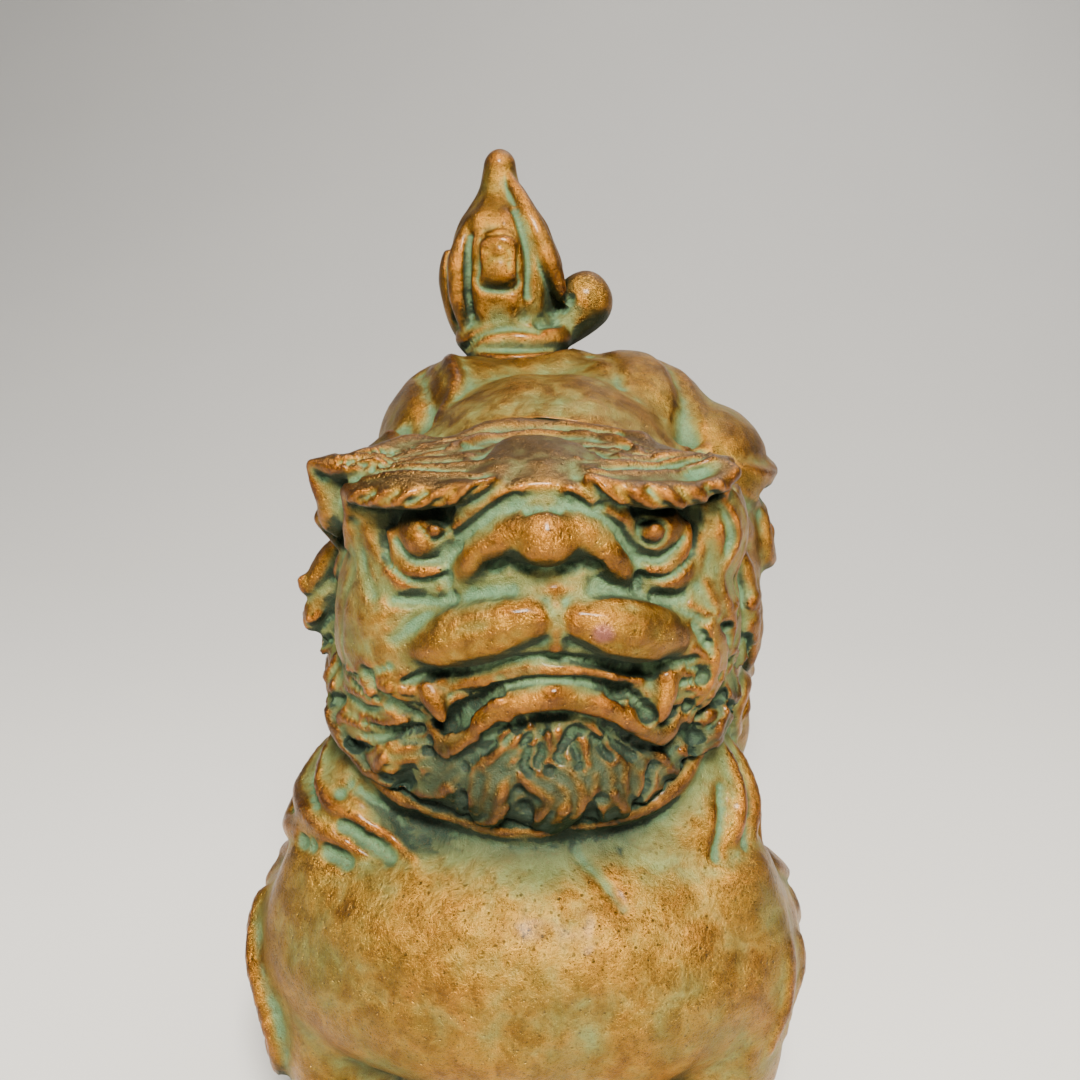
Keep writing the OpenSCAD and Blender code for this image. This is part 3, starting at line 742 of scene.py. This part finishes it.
def make_head():
    base = fuse([head_masses(), *brow_shelf(), *nose(), *eyes(), *lips(), *jaw()], voxel=0.5, soften=3)
    tree = skin_tree(base)
    ruff = cylinder(HEAD_SEAT - HEAD_AXIS * 3, NECK_R - 2.2, 4, HEAD_AXIS)
    edge = ring(HEAD_SEAT, HEAD_AXIS, reach=NECK_R - 2.6, height=1.4, thick=2)
    clay = fuse([base, ruff, edge, *beard(tree), *mane(tree)], voxel=0.45, soften=1)
    slice_off(clay, HEAD_SEAT, -HEAD_AXIS)
    clay = fuse([clay], voxel=0.41, soften=0)
    skin = Skin(clay)
    roughen(skin, size=5, depth=0.4, seed=3)
    roughen(skin, size=1.8, depth=0.12, seed=5)
    skin.strokes(face_strokes())
    skin.strokes(brow_strokes())
    skin.strokes(cheek_strokes())
    skin.strokes(chin_strokes())
    skin.strokes(edge_strokes())
    skin.flatten(HEAD_SEAT, HEAD_AXIS)
    # Painted reflection: the up-facing top of the brow is browned as if it mirrored dim surroundings, and
    # it gets less patina wash.
    top = smooth_step(skin.normals[:, 2], 0.5, 0.85) * smooth_step(skin.points[:, 2], 19, 23)
    rim = smooth_step((skin.points - np.array(HEAD_SEAT)) @ np.array(HEAD_AXIS), 5, 2)
    set_attribute(clay, "wash", 0.55 - 0.4 * top + 0.4 * rim)
    set_attribute(clay, "painted_reflection", top)
    # Painted shadow: the chin, the beard and the front of the seat rim are darkened for the shade under the
    # jaw. On the chin it also stands for real deep green patina.
    chin = smooth_step(skin.points[:, 2], -9, -18) * smooth_step(np.abs(skin.points[:, 0] - 2), 27, 16)
    front = smooth_step(skin.points[:, 1], -2, -10)
    set_attribute(clay, "painted_shadow", np.maximum(chin, rim * 0.9) * front)
    return finish_clay(clay, "lion_head", triangles=192000, offset=HEAD_AT, turn=HEAD_TURN)


# ---- Body, in the row's frame ----


def body_masses():
    lumps = [
        ball((-0.5, -36, 47.5), (48, 32.5, 23.5)),
        ball((-0.5, -36, 54), (43, 31.5, 20.5)),
        ball((0, -14, 83), (36, 32, 38)),
        ball((0, 15, 92), (37, 40, 44)),
        ball((0, 2, 62), (38, 58, 28)),
        ball((-2, 44, 102), (33, 27, 35.5)),
        ball((-19, 35, 113.5), (19.5, 25, 22.5)),
        ball((16, 36, 115), (21, 24, 22.5)),
        ball((-24, 14, 108), (14, 22, 18)),
        cylinder(NECK_SEAT - NECK_AXIS * 16, NECK_R, 16, NECK_AXIS),
    ]
    for side in SIDES:
        front = 28 if side > 0 else 34
        out = 31 if side > 0 else 26
        lumps += [
            ball((side * out, front, 90), (14.5, 23, 33), (8, 0, 0)),
            ball((side * 24.6 - 0.8, -32, 65), (14.4, 17, 21)),
            rope([(side * 29, -40, 66, 11), (side * 31, -42, 50, 14.5), (side * 31, -45, 34, 13),
                (side * 30, -46, 22, 11.6), (side * 30, -47, 12, 12)]),
            rope([(side * 29, 34, 70, 16), (side * 31, 28, 54, 15), (side * 30, 36, 38, 12.5),
                (side * 30, 46, 28, 10.8), (side * 30, 43, 18, 10.8), (side * 30, 40, 11, 12)]),
        ]
        for y, length in ((-52, 19.5), (39, 20.5)):
            lumps.append(ball((side * 30, y, 8), (14.4, length, 9.5)))
    lumps.append(ball((33, 30, 116.5), (13, 16, 11), (0, 12, 0)))
    return fuse(lumps, voxel=1.3, soften=12)


def paw_details():
    """Four toes with claws on each paw."""
    lumps = []
    for side in SIDES:
        for front in (-70.5, 20.5):
            for i, x in enumerate((-10.2, -3.5, 3.5, 10.2)):
                back = 2.5 if i in (0, 3) else 0
                spot = (side * 30 + x, front + 6 + back, 7.2)
                lumps += [
                    ball(spot, (3.9, 6.2, 6.2)),
                    rope([(spot[0], front + 4 + back, 6, 2), (spot[0], front + 1 + back, 4.4, 1.6),
                        (spot[0], front - 0.6 + back, 2.6, 0.5)]),
                ]
    return lumps


def leg_tufts(tree):
    """Flame-shaped tufts behind the elbows and hocks, and a leaf-shaped loop on the right foreleg."""
    lumps = []
    for side in SIDES:
        for i in range(3):
            z = 58 - 9 * i
            lumps += lock(tree, [(side * 38, -34, z, 1.4), (side * 41, -27, z - 5, 2.8),
                (side * 39, -21, z - 5, 2.4), (side * 38, -15, z + 1, 0.7)])
            lumps += lock(tree, [(side * 36, 44, 46 - 8 * i, 1.4), (side * 36, 54, 40 - 8 * i, 2.6),
                (side * 35, 58, 42 - 8 * i, 2), (side * 34, 61, 48 - 8 * i, 0.7)], 2)
    lumps += [
        laid_rope(tree, [(-43, -38, 52, 0.8), (-47, -41, 46, 1.5), (-49, -44, 39, 1.7),
            (-48, -48, 31, 1.7), (-44, -52, 26, 1.3)], 0.1),
        laid_rope(tree, [(-43, -38, 52, 0.8), (-44, -45, 48, 1.5), (-43, -50, 41, 1.6),
            (-42, -53, 33, 1.5), (-44, -52, 26, 1.3)], 0.1),
        laid_rope(tree, [(46, -42, 52, 0.6), (47, -45, 44, 1.1), (45, -49, 36, 0.6)], 0.3),
        laid_rope(tree, [(43, -48, 54, 0.6), (43, -52, 45, 1.1), (41, -55, 37, 0.6)], 0.3),
    ]
    return lumps


def haunch_curls(tree):
    """A curl on each haunch and shoulder, with a swept lock above and in front of it."""
    lumps = []
    for side in SIDES:
        front = 25 if side > 0 else 30
        lumps.append(curl(tree, (side * 46, front + 2, 99), 8.5, 1.4, 2.4, start=120, hand=side))
        lumps += lock(tree, [(side * 36, front - 14, 118, 1.4), (side * 42, front - 6, 113, 2.8),
            (side * 44, front + 6, 112, 3), (side * 44, front + 20, 116, 1)])
        lumps += lock(tree, [(side * 44, front - 8, 90, 1.2), (side * 45, front - 8, 80, 2.6),
            (side * 44, front - 1, 71, 2.6), (side * 42, front + 10, 69, 0.9)])
        lumps.append(curl(tree, (side * 42, -22, 84), 7, 1.4, 2, start=200, hand=-side))
    return lumps


def neck_tufts(tree):
    """Tufts of the mane at both sides of the neck, and low folds down the back."""
    rows = [
        [(39.5, -16, 88, 1), (40.5, -19, 79, 1.7), (41, -21, 71, 1.5), (43.5, -22, 65, 0.7)],
        [(-39.5, -10, 88, 1), (-40.5, -12, 79, 1.6), (-41, -14, 71, 1.4), (-43.5, -15, 65, 0.7)],
    ]
    fingers = [
        [(-39, -24, 72, 0.7), (-40, -30, 64.2, 1.3), (-40.4, -33, 59.1, 1.3), (-38.4, -37, 56.6, 0.7)],
        [(-37, -26, 75, 0.8), (-37.3, -32, 68.6, 2.1), (-35.3, -37, 65, 2.4), (-29.7, -43, 63.3, 0.8)],
        [(-34, -28, 77, 0.8), (-33.9, -33, 71.5, 1.9), (-29.4, -40, 69.4, 2), (-24.5, -46, 65.6, 0.7)],
        [(-30, -32, 79, 0.6), (-29, -38, 73.2, 1.2), (-23, -46, 71.3, 1.3), (-16.5, -52, 70, 0.5)],
        [(28, -33, 80, 0.6), (29.7, -36, 75.6, 1.5), (30.8, -40, 71.7, 1.5), (31.2, -43, 68.7, 0.6)],
        [(31.4, -28, 80, 0.8), (32.6, -32, 75.5, 1.6), (34.3, -36, 71.5, 1.7), (36, -40, 66.2, 0.6)],
        [(34.5, -22, 80, 0.8), (35.7, -27, 75, 1.6), (37.8, -31, 70, 1.6), (39.2, -35, 64.5, 0.6)],
    ]
    for side in SIDES:
        rows += [
            [(side * 38, -2, 100, 1.2), (side * 40, 0, 92, 1.9), (side * 41, -1, 84, 1.7),
                (side * 43, 1, 77, 0.8)],
            [(side * 27, 0, 121, 1.4), (side * 30, 6, 121, 2.6), (side * 30, 13, 120, 2.4),
                (side * 33, 20, 118, 0.8)],
            [(side * 35, 0, 110, 1.4), (side * 37, 6, 109, 2.4), (side * 36, 12, 106, 2.2),
                (side * 38, 17, 103, 0.8)],
        ]
    lumps = [strand for row in rows for strand in lock(tree, row, 3, 0.35)]
    lumps += [laid_rope(tree, row, 0.35) for row in fingers]
    lumps += [
        laid_rope(tree, [(-18, 10, 124, 0.8), (-18.5, 22, 128, 1.7), (-21, 32, 132, 1.6),
            (-22, 41, 133, 0.8)], 0.4),
    ]
    return lumps


def press_body(skin):
    """Folds between the limbs and the trunk, and the soft unevenness of modelled clay."""
    rows = []
    for side in SIDES:
        front = 25 if side > 0 else 31
        rows += [
            ([(side * 41, front - 24, 80), (side * 39, front - 24, 100),
                (side * 30, front - 18, 122)], 6, -2),
            ([(side * 44, front - 4, 110), (side * 45, front + 8, 109),
                (side * 43, front + 20, 112)], 3, -1.6),
            ([(side * 44, -24, 58), (side * 44, -18, 72), (side * 40, -14, 88)], 5, -1.4),
            ([(side * 44, 4, 58), (side * 44, 8, 74), (side * 42, 6, 90)], 8, -1.2),
            ([(side * 9, -69, 34), (side * 11, -69, 44), (side * 12, -66, 54)], 5, -0.35),
        ]
        for k in range(3):
            y = -4 + 9 * k
            rows.append(([(side * 40, y, 66), (side * 43, y + 3, 76), (side * 40, y + 4, 90)], 3.2, 0.6))
    rows += [
        ([(21, 40, 132), (24, 30, 128), (26.5, 20, 122), (28, 8, 115)], 4, -1.5),
        ([(-24, 10, 124), (-24, 20, 128), (-26, 34, 129)], 3.6, -1.5),
        ([(8, 40, 137), (13, 30, 135), (14, 20, 131)], 2.6, -0.5),
        ([(-1, 4, 136), (0, 22, 137), (-3, 38, 136)], 7, -0.7),
        ([(6, -50, 76), (11, -53, 70), (15, -56, 65)], 1.8, -0.5),
        # The grooves between the tufts of the neck
        ([(-39, -31, 66.5), (-38.4, -35, 62), (-34, -40, 59.5)], 2, -1),
        ([(-36, -31, 71), (-32.4, -38.5, 67.2), (-27, -44.5, 64)], 2, -1),
        ([(-32, -35, 73.4), (-26, -43, 70.4), (-20.5, -49, 67.6)], 2, -0.9),
        ([(-27, -40, 75.6), (-18, -49, 73.6)], 1.6, -0.8),
        ([(28, -38, 75.5), (28.6, -42, 71), (29, -45, 68)], 1.5, -1),
        ([(31, -34, 76), (32.6, -38, 71.6), (33.8, -41.5, 67.4)], 1.5, -1.2),
        ([(34, -29.5, 76), (36, -33.5, 70.6), (37.8, -37.5, 65)], 1.5, -1.2),
        # The looped leaf's hollow
        ([(-46, -42, 46), (-47, -45, 40), (-46, -49, 32)], 2.2, -1.4),
    ]
    skin.strokes(rows)


def roughen(skin, size, depth, seed):
    """Low waves all over, as left by modelling tools."""
    shift = Vector((seed, 0, 0))
    waves = np.array([noise.noise(Vector(p) / size + shift) for p in skin.points])
    skin.points += (waves * depth)[:, None] * skin.normals
    skin.refresh()


def shape_seats(skin):
    """The faces that the head, the tail, the belly plate and the pads seat on."""
    skin.sink_seat(NECK_SEAT, NECK_R + 0.4, NECK_AXIS)
    skin.sink_seat(TAIL_AT, TAIL_SEAT_R, UP)
    under = np.all(np.abs(skin.points[:, :2]) < (PLATE_HIGH.x + 1, PLATE_HIGH.y + 1), axis=1)
    under &= np.abs(skin.points[:, 2] - PLATE_HIGH.z - 2) < 6
    skin.points[under, 2] = PLATE_HIGH.z
    skin.flatten((0, 0, GROUND), UP)


def make_body():
    masses = body_masses()
    base = fuse([masses, *paw_details()], voxel=1.0, soften=2)
    tree = skin_tree(base)
    collar = ring(
        NECK_SEAT, NECK_AXIS, reach=NECK_R + 0.6, height=-2.2, thick=1.8, arc=(-38, -142), fade=0.7
    )
    hair = [*leg_tufts(tree), *haunch_curls(tree), *neck_tufts(tree)]
    clay = fuse([base, *hair, collar], voxel=0.8, soften=1)
    skin = Skin(clay)
    shape_seats(skin)
    clay = fuse([clay], voxel=0.78, soften=0)
    skin = Skin(clay)
    roughen(skin, size=9, depth=0.5, seed=7)
    roughen(skin, size=2.6, depth=0.12, seed=9)
    press_body(skin)
    shape_seats(skin)
    rel = skin.points - np.array(NECK_SEAT)
    reach = np.linalg.norm(rel - np.outer(rel @ np.array(NECK_AXIS), NECK_AXIS), axis=1)
    set_attribute(clay, "wash", 0.14 + 0.5 * smooth_step(reach, 50, 38))
    # Painted shadow: the chest just under the chin is darkened where the head casts its shadow.
    under_chin = smooth_step(reach, NECK_R + 9, NECK_R + 1) * smooth_step(np.abs(skin.points[:, 0]), 34, 16)
    set_attribute(clay, "painted_shadow", under_chin * smooth_step(skin.points[:, 1], -22, -34) * 0.9)
    return finish_clay(clay, "lion_body", triangles=192000)


# ---- Tail, in a frame whose origin is the middle of its seat ----


def make_tail():
    lumps = [
        cylinder((-1, 0, 0), 10.6, 4),
        ball((-1.6, 1, 6), (13.4, 8.8, 6.4)),
        rope([(-3, 4, 6, 9.6), (-3.6, 5, 14, 12), (-4.4, 5.4, 23, 12), (-4.8, 6, 29, 10.8),
            (-5, 7, 33.5, 8), (-5, 7.6, 38, 4.9), (-5, 7.6, 43, 3.8)]),
        ball((-5, 7.6, 43), (3.8, 3.8, 3.8)),
        ball((14.2, 6.4, 13.8), (6.7, 6, 6.8)),
        ball((7.6, 6.4, 9), (7, 5, 6)),
        rope([(4, 3, 4, 4), (9, 5, 8, 5), (14, 6, 12, 5.6)]),
        rope([(-8, 5, 4, 5), (-12.6, 7, 10, 5), (-15.4, 8, 16, 4), (-16.2, 8.4, 21, 3.4),
            (-16, 8.4, 25, 2)]),
    ]
    clay = fuse(lumps, voxel=0.5, soften=8)
    extra = [
        ball((-4.2, -5, 26), (5, 2.8, 4)),
        ball((-4.2, -5.4, 21.6), (4.8, 2.6, 4)),
        ball((-6.4, -5, 24), (2.8, 2.6, 5)),
        ball((-2, -5, 24), (2.8, 2.6, 5)),
        rope([(-3, 5, 41.6, 0.9), (-0.4, 2.6, 37, 1.8), (3, 0, 31, 2.4), (6, -1.2, 24, 2.7),
            (8.6, -0.8, 17.4, 1.9), (10, 0.6, 13, 0.9)]),
        rope([(-12, -2, 8, 1.4), (-13.4, -2.4, 16, 2.4), (-13.2, -2, 24, 2.4), (-10.6, 0.4, 31, 1.7),
            (-7.4, 3, 36, 0.8)]),
        rope([(7, 8, 10, 1), (7, 10, 20, 2.2), (3.4, 11.6, 30, 2), (-2, 10.6, 39, 0.9)]),
        rope([(-13, 8, 10, 1), (-13, 10.6, 20, 2.2), (-10.6, 11.6, 30, 2), (-6, 10.6, 39, 0.9)]),
        rope([(-3, 14, 4, 2), (-3, 15.4, 14, 3), (-3.6, 15.6, 26, 2.6), (-4.6, 12.4, 37, 1)]),
    ]
    clay = fuse([clay, *extra], voxel=0.42, soften=3)
    skin = Skin(clay)
    roughen(skin, size=5, depth=0.3, seed=11)
    square = [(-9.4, -6, 29), (-4.2, -7, 30.4), (1, -6, 29), (1.4, -7, 24), (0.8, -7, 18.4),
        (-4.2, -8, 17), (-9.2, -7, 18.4), (-9.8, -7, 24), (-9.4, -6, 29)]
    skin.strokes([
        (square, 1.3, -0.6),
        ([(-6.8, -6.8, 25.6), (-4.2, -7.4, 27), (-1.8, -6.8, 25.4), (-2, -6.8, 22)], 1, -0.3),
        ([(1.4, -3.6, 16), (1.8, -3.4, 24), (-1.4, -0.6, 33)], 1.6, -1.1),
        ([(-10.4, -3.4, 12), (-10.8, -3.6, 20), (-9.8, -2.4, 28)], 1.3, -0.9),
        ([(4, -3, 8), (8, -1.6, 10.6), (11, 0, 15)], 2.4, -1.6),
        ([(-12, -3, 4.4), (-4, -7, 9.4), (4, -5, 8)], 1.6, -0.7),
        ([(-14.6, 4, 10), (-16, 5.4, 18), (-16.4, 6, 24)], 1.4, -1),
    ])
    set_attribute(clay, "wash", 0.22 + 0.4 * smooth_step(skin.points[:, 2], 16, 4))
    return finish_clay(clay, "lion_tail", triangles=80000, offset=TAIL_AT)


# ---- Wear marks and painted shade: how high, low and sheltered each point of the skin is ----


def neighbour_mean(points, ends, degree):
    total = np.zeros_like(points)
    for column in range(3):
        total[:, column] = np.bincount(ends[0], points[ends[1], column], len(points))
    return total / degree[:, None]


def set_attribute(piece, name, values):
    layer = piece.data.attributes.new(name, "FLOAT", "POINT")
    layer.data.foreach_set("value", np.clip(values, 0, 1).astype(np.float32))


def mark_relief(clay):
    """Stores how far each point stands above or below the smoothed skin round it."""
    skin = Skin(clay)
    edges = np.empty(len(clay.data.edges) * 2, np.int32)
    clay.data.edges.foreach_get("vertices", edges)
    edges = edges.reshape(-1, 2)
    ends = np.vstack([edges, edges[:, ::-1]]).T
    degree = np.maximum(np.bincount(ends[0], minlength=len(skin.points)), 1)
    step = float(np.mean(np.linalg.norm(skin.points[edges[:, 0]] - skin.points[edges[:, 1]], axis=1)))
    heights = []
    smooth = skin.points.copy()
    done = 0
    # Tool marks, strands of hair and whole locks vanish at these reaches of smoothing
    for reach in (0.9, 2, 4.2):
        passes = round((reach / step) ** 2)
        for _ in range(passes - done):
            smooth = neighbour_mean(smooth, ends, degree)
        done = passes
        heights.append(np.sum((skin.points - smooth) * skin.normals, axis=1))
    fine, middle, broad = heights
    set_attribute(clay, "ridge", fine * 2.8 + middle * 1.2)
    set_attribute(clay, "groove", -fine * 2.6 - middle * 1.2)
    set_attribute(clay, "sunk", -broad * 0.5 - middle * 0.4)
    set_attribute(clay, "proud", broad * 0.5 + middle * 0.35)


def shelter(pieces, rays=10, reach=0.02):
    """The share of directions round each point that meet the figure within reach."""
    points, faces, start = [], [], 0
    for piece in pieces:
        points += [v.co.copy() for v in piece.data.vertices]
        faces += [tuple(i + start for i in p.vertices) for p in piece.data.polygons]
        start = len(points)
    tree = BVHTree.FromPolygons(points, faces)
    golden = math.pi * (3 - math.sqrt(5))
    clear = 0.0004
    fan = []
    for i in range(rays):
        z = 0.25 + 0.75 * (i + 0.5) / rays
        r = math.sqrt(1 - z * z)
        fan.append(Vector((r * math.cos(golden * i), r * math.sin(golden * i), z)))
    shares = []
    for piece in pieces:
        blocked = np.zeros(len(piece.data.vertices))
        for i, vertex in enumerate(piece.data.vertices):
            turn = UP.rotation_difference(vertex.normal)
            origin = vertex.co + vertex.normal * clear
            for way in fan:
                if tree.ray_cast(origin, turn @ way, reach)[0] is not None:
                    blocked[i] += 1
        shares.append(blocked / rays)
    return shares


def mark_shelter(pieces):
    """Stores how little light reaches each point, and less where the skin faces down. The bronze paints
    this in as painted shade and also lays verdigris where it is high.
    """
    for piece, sheltered in zip(pieces, shelter(pieces)):
        facing = np.array([vertex.normal.z for vertex in piece.data.vertices])
        set_attribute(piece, "shade", sheltered * 1.1 - 0.12 + np.clip(0.05 - facing, 0, 1) * 0.75)


# ---- Materials ----


class Wire:
    """A socket of a material. Arithmetic on it adds Math nodes."""

    def __init__(self, paint, socket):
        self.paint = paint
        self.socket = socket

    def math(self, operation, *values):
        return self.paint.add("ShaderNodeMath", {"operation": operation}, dict(enumerate(values)))

    def __add__(self, other):
        return self.math("ADD", self, other)

    def __radd__(self, other):
        return self.math("ADD", other, self)

    def __sub__(self, other):
        return self.math("SUBTRACT", self, other)

    def __rsub__(self, other):
        return self.math("SUBTRACT", other, self)

    def __mul__(self, other):
        return self.math("MULTIPLY", self, other)

    def __rmul__(self, other):
        return self.math("MULTIPLY", other, self)

    def clamp(self):
        return self.paint.add("ShaderNodeClamp", {}, {"Value": self})

    def ramp(self, low, high):
        """0 below low, 1 above high and a smooth step between."""
        limits = {"Value": self, "From Min": low, "From Max": high}
        return self.paint.add("ShaderNodeMapRange", {"interpolation_type": "SMOOTHSTEP"}, limits)


class Paint:
    """A material under construction."""

    def __init__(self, name):
        self.material = bpy.data.materials.new(name)
        self.material.use_nodes = True
        self.tree = self.material.node_tree
        self.shader = self.tree.nodes["Principled BSDF"]
        self.place = self.add("ShaderNodeTexCoord", {}, {}, "Object")

    def add(self, kind, settings, values, output=0):
        """Adds a node: its type, its settings first, then the values or links of its sockets."""
        node = self.tree.nodes.new(kind)
        for key, value in settings.items():
            setattr(node, key, value)
        for key, value in values.items():
            self.put(node.inputs[key], value)
        return Wire(self, node.outputs[output])

    def put(self, socket, value):
        if isinstance(value, Wire):
            self.tree.links.new(value.socket, socket)
        else:
            socket.default_value = value

    def mix(self, share, low, high):
        """A colour between two colours."""
        node = self.tree.nodes.new("ShaderNodeMix")
        node.data_type = "RGBA"
        for socket, value in ((node.inputs[0], share), (node.inputs[6], low), (node.inputs[7], high)):
            self.put(socket, (*value, 1) if isinstance(value, tuple) else value)
        return Wire(self, node.outputs[2])

    def noise(self, scale, detail=3, rough=0.55, warp=0.0):
        return self.add("ShaderNodeTexNoise", {}, {
            "Vector": self.place, "Scale": scale, "Detail": detail, "Roughness": rough, "Distortion": warp
        })

    def cells(self, scale):
        return self.add("ShaderNodeTexVoronoi", {}, {"Vector": self.place, "Scale": scale})

    def mark(self, name):
        """One of the wear marks stored on the skin."""
        return self.add("ShaderNodeAttribute", {"attribute_name": name}, {}, "Fac")

    def near(self, spot, reach):
        """1 at a place on the piece, falling to 0 at a distance of reach."""
        ends = {0: self.place, 1: spot}
        away = self.add("ShaderNodeVectorMath", {"operation": "DISTANCE"}, ends, "Value")
        return away.ramp(reach, reach * 0.3)

    def bump(self, height, depth):
        return self.add("ShaderNodeBump", {}, {"Height": height, "Distance": depth, "Strength": 1.0})

    def finish(self, **values):
        for key, value in values.items():
            self.put(self.shader.inputs[key.replace("_", " ")], value)
        return self.material


# The bronze's layers, each from its darker to its lighter tone where it has two. The near black green is
# painted shade and the brown for the brow's top is a painted reflection; neither is a layer of the bronze.
GOLD = (0.22, 0.105, 0.012), (0.46, 0.25, 0.026)
OLIVE = (0.19, 0.155, 0.026)
COPPER = (0.13, 0.042, 0.006), (0.38, 0.135, 0.016)
# Painted reflection: a deep brown for the up-facing top of the brow
PAINTED_REFLECTION_BROWN = (0.13, 0.075, 0.03)
MINT = (0.075, 0.095, 0.018), (0.165, 0.235, 0.08)
TEAL = (0.05, 0.22, 0.13)
# Painted shade: a near black green for sheltered, down-facing and shadowed skin
PAINTED_SHADE_GREEN = (0.010, 0.026, 0.014)
PLUM = (0.30, 0.10, 0.11)
GRIME = (0.075, 0.05, 0.014)


def antique_bronze():
    """Gold over copper brown on what stands proud, and verdigris in what lies low. Painted shade goes on
    sheltered skin, on down-facing skin and under the chin, and a painted reflection goes on the brow's top.
    """
    paint = Paint("antique_bronze")
    ridge, groove, proud = paint.mark("ridge"), paint.mark("groove"), paint.mark("proud")
    shade, wash = paint.mark("shade"), paint.mark("wash")
    hollow = (paint.mark("sunk") + shade * 0.7).clamp()
    clouds = paint.noise(75, 4, 0.6)
    patches = paint.noise(230, 5, 0.65, 0.6)
    grain = paint.noise(4200, 2, 0.75)
    sand = paint.noise(1300, 3, 0.7)
    open_face = 1 - hollow.ramp(0.15, 0.55)
    low = wash * 0.95 + groove * 0.55 + hollow * 0.45 - proud * 0.9 - ridge * 0.5
    patina = (low + (clouds - 0.5) * 1.3 + (patches - 0.5) * 1.1).ramp(-0.2, 0.8)
    gold = paint.mix(patches.ramp(0.3, 0.7), *GOLD)
    gold = paint.mix(clouds.ramp(0.45, 0.7) * 0.6, gold, OLIVE)
    copper = paint.mix(patches.ramp(0.35, 0.65), *COPPER)
    metal = paint.mix((ridge * (0.5 + clouds * 0.9)).clamp(), gold, copper)
    metal = paint.mix(clouds.ramp(0.5, 0.34) * open_face * 0.5, metal, copper)
    # Painted reflection: the brow's top is browned where it faces up
    metal = paint.mix(paint.mark("painted_reflection") * (0.95 - ridge * 0.5), metal, PAINTED_REFLECTION_BROWN)
    mint = paint.mix(patches.ramp(0.3, 0.75), *MINT)
    mint = paint.mix(groove.ramp(0.2, 0.9) * 0.6, mint, TEAL)
    colour = paint.mix(patina * 0.88, metal, mint)
    # Painted shade: sheltered skin, down-facing skin and the painted shadow under the chin go towards near
    # black green.
    painted_shade = (shade.ramp(0.12, 0.62) * 0.95 + paint.mark("painted_shadow") * (0.85 - ridge * 0.42)).clamp()
    colour = paint.mix(painted_shade, colour, PAINTED_SHADE_GREEN)
    colour = paint.mix(paint.near(PAD_SPOT, PAD_SPOT_R) * 0.7, colour, PLUM)
    pits = paint.cells(700).ramp(0.2, 0.06) * open_face
    bare = 1.1 - wash
    speckle = (grain.ramp(0.52, 0.32) * 0.6 + sand.ramp(0.5, 0.3) * 0.4 + pits * 0.5) * bare
    colour = paint.mix(speckle.clamp(), colour, GRIME)
    height = grain * 0.6 + sand * 0.7 - pits * 0.5 + paint.noise(420, 2, 0.6) * 0.9
    return paint.finish(
        Base_Color=colour,
        Metallic=(0.98 - patina * 0.55).clamp(),
        Roughness=(0.32 + patina * 0.24 + (grain - 0.5) * 0.5 * bare + shade * 0.3).clamp(),
        Normal=paint.bump(height, 0.0003),
        Coat_Weight=(ridge * 0.25 - shade * 0.3).clamp(),
        Coat_Roughness=0.16,
    )


def plated_steel():
    paint = Paint("zinc_plated_steel")
    haze = paint.noise(500, 4, 0.6)
    scratches = paint.noise(3000, 2, 0.5)
    return paint.finish(
        Base_Color=paint.mix(haze.ramp(0.35, 0.65), (0.42, 0.42, 0.40), (0.62, 0.62, 0.60)),
        Metallic=1.0,
        Roughness=(0.28 + haze * 0.2).clamp(),
        Normal=paint.bump(scratches, 0.00003),
    )


def green_felt():
    paint = Paint("green_felt")
    fibres = paint.noise(5000, 3, 0.8, 1.5)
    clumps = paint.noise(600, 2, 0.6)
    return paint.finish(
        Base_Color=paint.mix((fibres * 0.6 + clumps * 0.4).ramp(0.3, 0.7), (0.015, 0.035, 0.02),
            (0.05, 0.10, 0.06)),
        Roughness=0.95,
        Normal=paint.bump(fibres + clumps, 0.0002),
    )


def pale_floor():
    paint = Paint("pale_floor")
    tone = paint.noise(8, 2, 0.5)
    return paint.finish(Base_Color=paint.mix(tone, (0.70, 0.69, 0.67), (0.74, 0.73, 0.71)), Roughness=0.8)


def dress(thing, material):
    thing.data.materials.clear()
    thing.data.materials.append(material)


# ---- Putting it together ----

place_camera()
add_light("key", at=(0.05, -0.36, 0.50), aim=(0, -0.03, 0.11), size=0.14, power=11, tint=(1.0, 0.94, 0.84))
add_light("fill", at=(-0.8, -0.2, 0.6), aim=(0, 0, 0.1), size=0.6, power=1.6, tint=(0.9, 0.95, 1.0))
add_light("back", at=(0.3, 0.5, 0.9), aim=(0, 0.1, 0.1), size=0.6, power=4.5, tint=(1.0, 0.98, 0.95))

floor = sweep()
dress(floor, pale_floor())

head = make_head()
body = make_body()
tail = make_tail()
mark_shelter([head, body, tail])
bronze = antique_bronze()
for piece, node in ((head, "head_casting"), (body, "body_casting"), (tail, "tail_casting")):
    dress(piece, bronze)
    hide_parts(node)
    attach(piece, "root")

steel = plated_steel()
felt = green_felt()
finishes = {
    bronze: ["belly_plate"],
    steel: ["belly_screws", "head_stud", "bridge_bar", "head_washer", "head_nut", "tail_screw",
            "tail_washer"],
    felt: ["paw_pads"],
}
for material, nodes in finishes.items():
    for node in nodes:
        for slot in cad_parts[node].material_slots:
            slot.material = material

world = bpy.data.worlds.new("studio")
world.use_nodes = True
world.node_tree.nodes["Background"].inputs["Color"].default_value = (0.75, 0.78, 0.82, 1)
world.node_tree.nodes["Background"].inputs["Strength"].default_value = 0.12
bpy.context.scene.world = world
